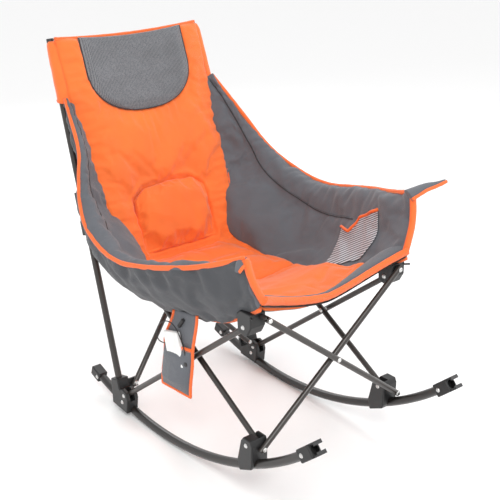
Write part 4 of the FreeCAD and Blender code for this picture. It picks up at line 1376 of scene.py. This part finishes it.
def pocket_grid(x, top, low, inset, rows=40, columns=26, puff=0.0):
    """A grid between the hanging pocket's front and rear edges, from top to low (heights at its front)."""
    grid = []
    for i in range(rows):
        share = i / (rows - 1)
        front_z = top + (low - top) * share
        front_y = curve_value([(0.232, -0.224), (0.350, -0.238), (0.484, -0.262)], front_z) + inset
        rear_z = front_z - 0.010 - 0.0085 * (front_z - 0.232) / 0.25
        rear_y = curve_value([(0.222, -0.094), (0.350, -0.112), (0.470, -0.160)], rear_z) - inset
        row = []
        for j in range(columns):
            across = j / (columns - 1)
            swell = puff * math.sin(math.pi * across) ** 0.5 * min(1.0, 4 * share + 0.25, 4 * (1 - share))
            y = front_y + (rear_y - front_y) * across
            row.append(at(x - swell, y, front_z + (rear_z - front_z) * across))
        grid.append(row)
    return grid


def hanging_pocket():
    """The grey pocket that hangs from the seat's edge and holds the power bank."""
    front = pocket_grid(POCKET_X - 0.0022, 0.482, 0.224, 0.0)
    rear = pocket_grid(POCKET_X - 0.0002, 0.482, 0.224, 0.0)
    panel = closed_sheet("pocket_panel", front, rear, "grey_fabric")
    creased(panel, 0.0006, 22, 101)
    ready(panel, "pocket", ["side_pocket"])
    front = pocket_grid(POCKET_X - 0.0040, 0.372, 0.228, 0.002, puff=0.021)
    rear = pocket_grid(POCKET_X - 0.0024, 0.372, 0.228, 0.003, puff=0.020)
    bag = closed_sheet("pocket_bag", front, rear, "grey_fabric")
    creased(bag, 0.0010, 26, 103)
    subdivided(bag)
    ready(bag, "pocket")
    outline = pocket_grid(POCKET_X - 0.0015, 0.482, 0.224, 0.0)
    loop = [row[0] for row in outline] + outline[-1][1:] + [row[-1] for row in outline[::-1]]
    facing = Vector((-1, 0, 0))
    edge = binding("pocket_edge", loop, 0.0042, facing, 1.0)
    mouth = binding("pocket_mouth", front[0], 0.0038, facing, 1.1)
    sewn = [point + Vector((-0.0045, 0, -0.0045)) for point in front[0]]
    rows = stitches("pocket_stitches", sewn, facing, "thread_light", 0.004, 0.0028, 0.0009)
    trim = joined("pocket_binding", [edge, mouth, rows])
    ready(trim, "pocket")


hanging_pocket()


# ---------------------------------------------------------------- floor, lights and world
def stage():
    """A pale floor."""
    mesh = bpy.data.meshes.new("floor")
    half = 9
    corners = [(-half, -half, 0), (half, -half, 0), (half, half, 0), (-half, half, 0)]
    mesh.from_pydata(corners, [], [(0, 1, 2, 3)])
    item = linked("floor", mesh)
    made = Nodes("studio_floor")
    made.set(base_color=(0.93, 0.93, 0.93), roughness=0.75)
    mesh.materials.append(made.material)


def area_light(name, place, target, size, power, colour=(1, 1, 1)):
    data = bpy.data.lights.new(name, "AREA")
    data.shape = "DISK"
    data.size = size
    data.energy = power
    data.color = colour
    item = linked(name, data)
    item.location = place
    item.rotation_euler = (Vector(target) - Vector(place)).to_track_quat("-Z", "Y").to_euler()


def studio():
    """Soft light from both sides and behind, in a white room."""
    stage()
    centre = (0, 0, 0.5)
    area_light("key", (-1.6, -2.2, 3.0), centre, 1.6, 62, (1, 0.985, 0.96))
    area_light("fill", (2.6, -1.6, 1.8), centre, 2.4, 26, (0.96, 0.98, 1))
    area_light("rim", (0.8, 2.6, 2.4), centre, 2.0, 34)
    world = bpy.data.worlds.new("studio")
    bpy.context.scene.world = world
    world.use_nodes = True
    backdrop = world.node_tree.nodes["Background"]
    backdrop.inputs["Color"].default_value = (1, 1, 1, 1)
    backdrop.inputs["Strength"].default_value = 1.0
    bpy.context.scene.view_settings.view_transform = "Standard"


studio()
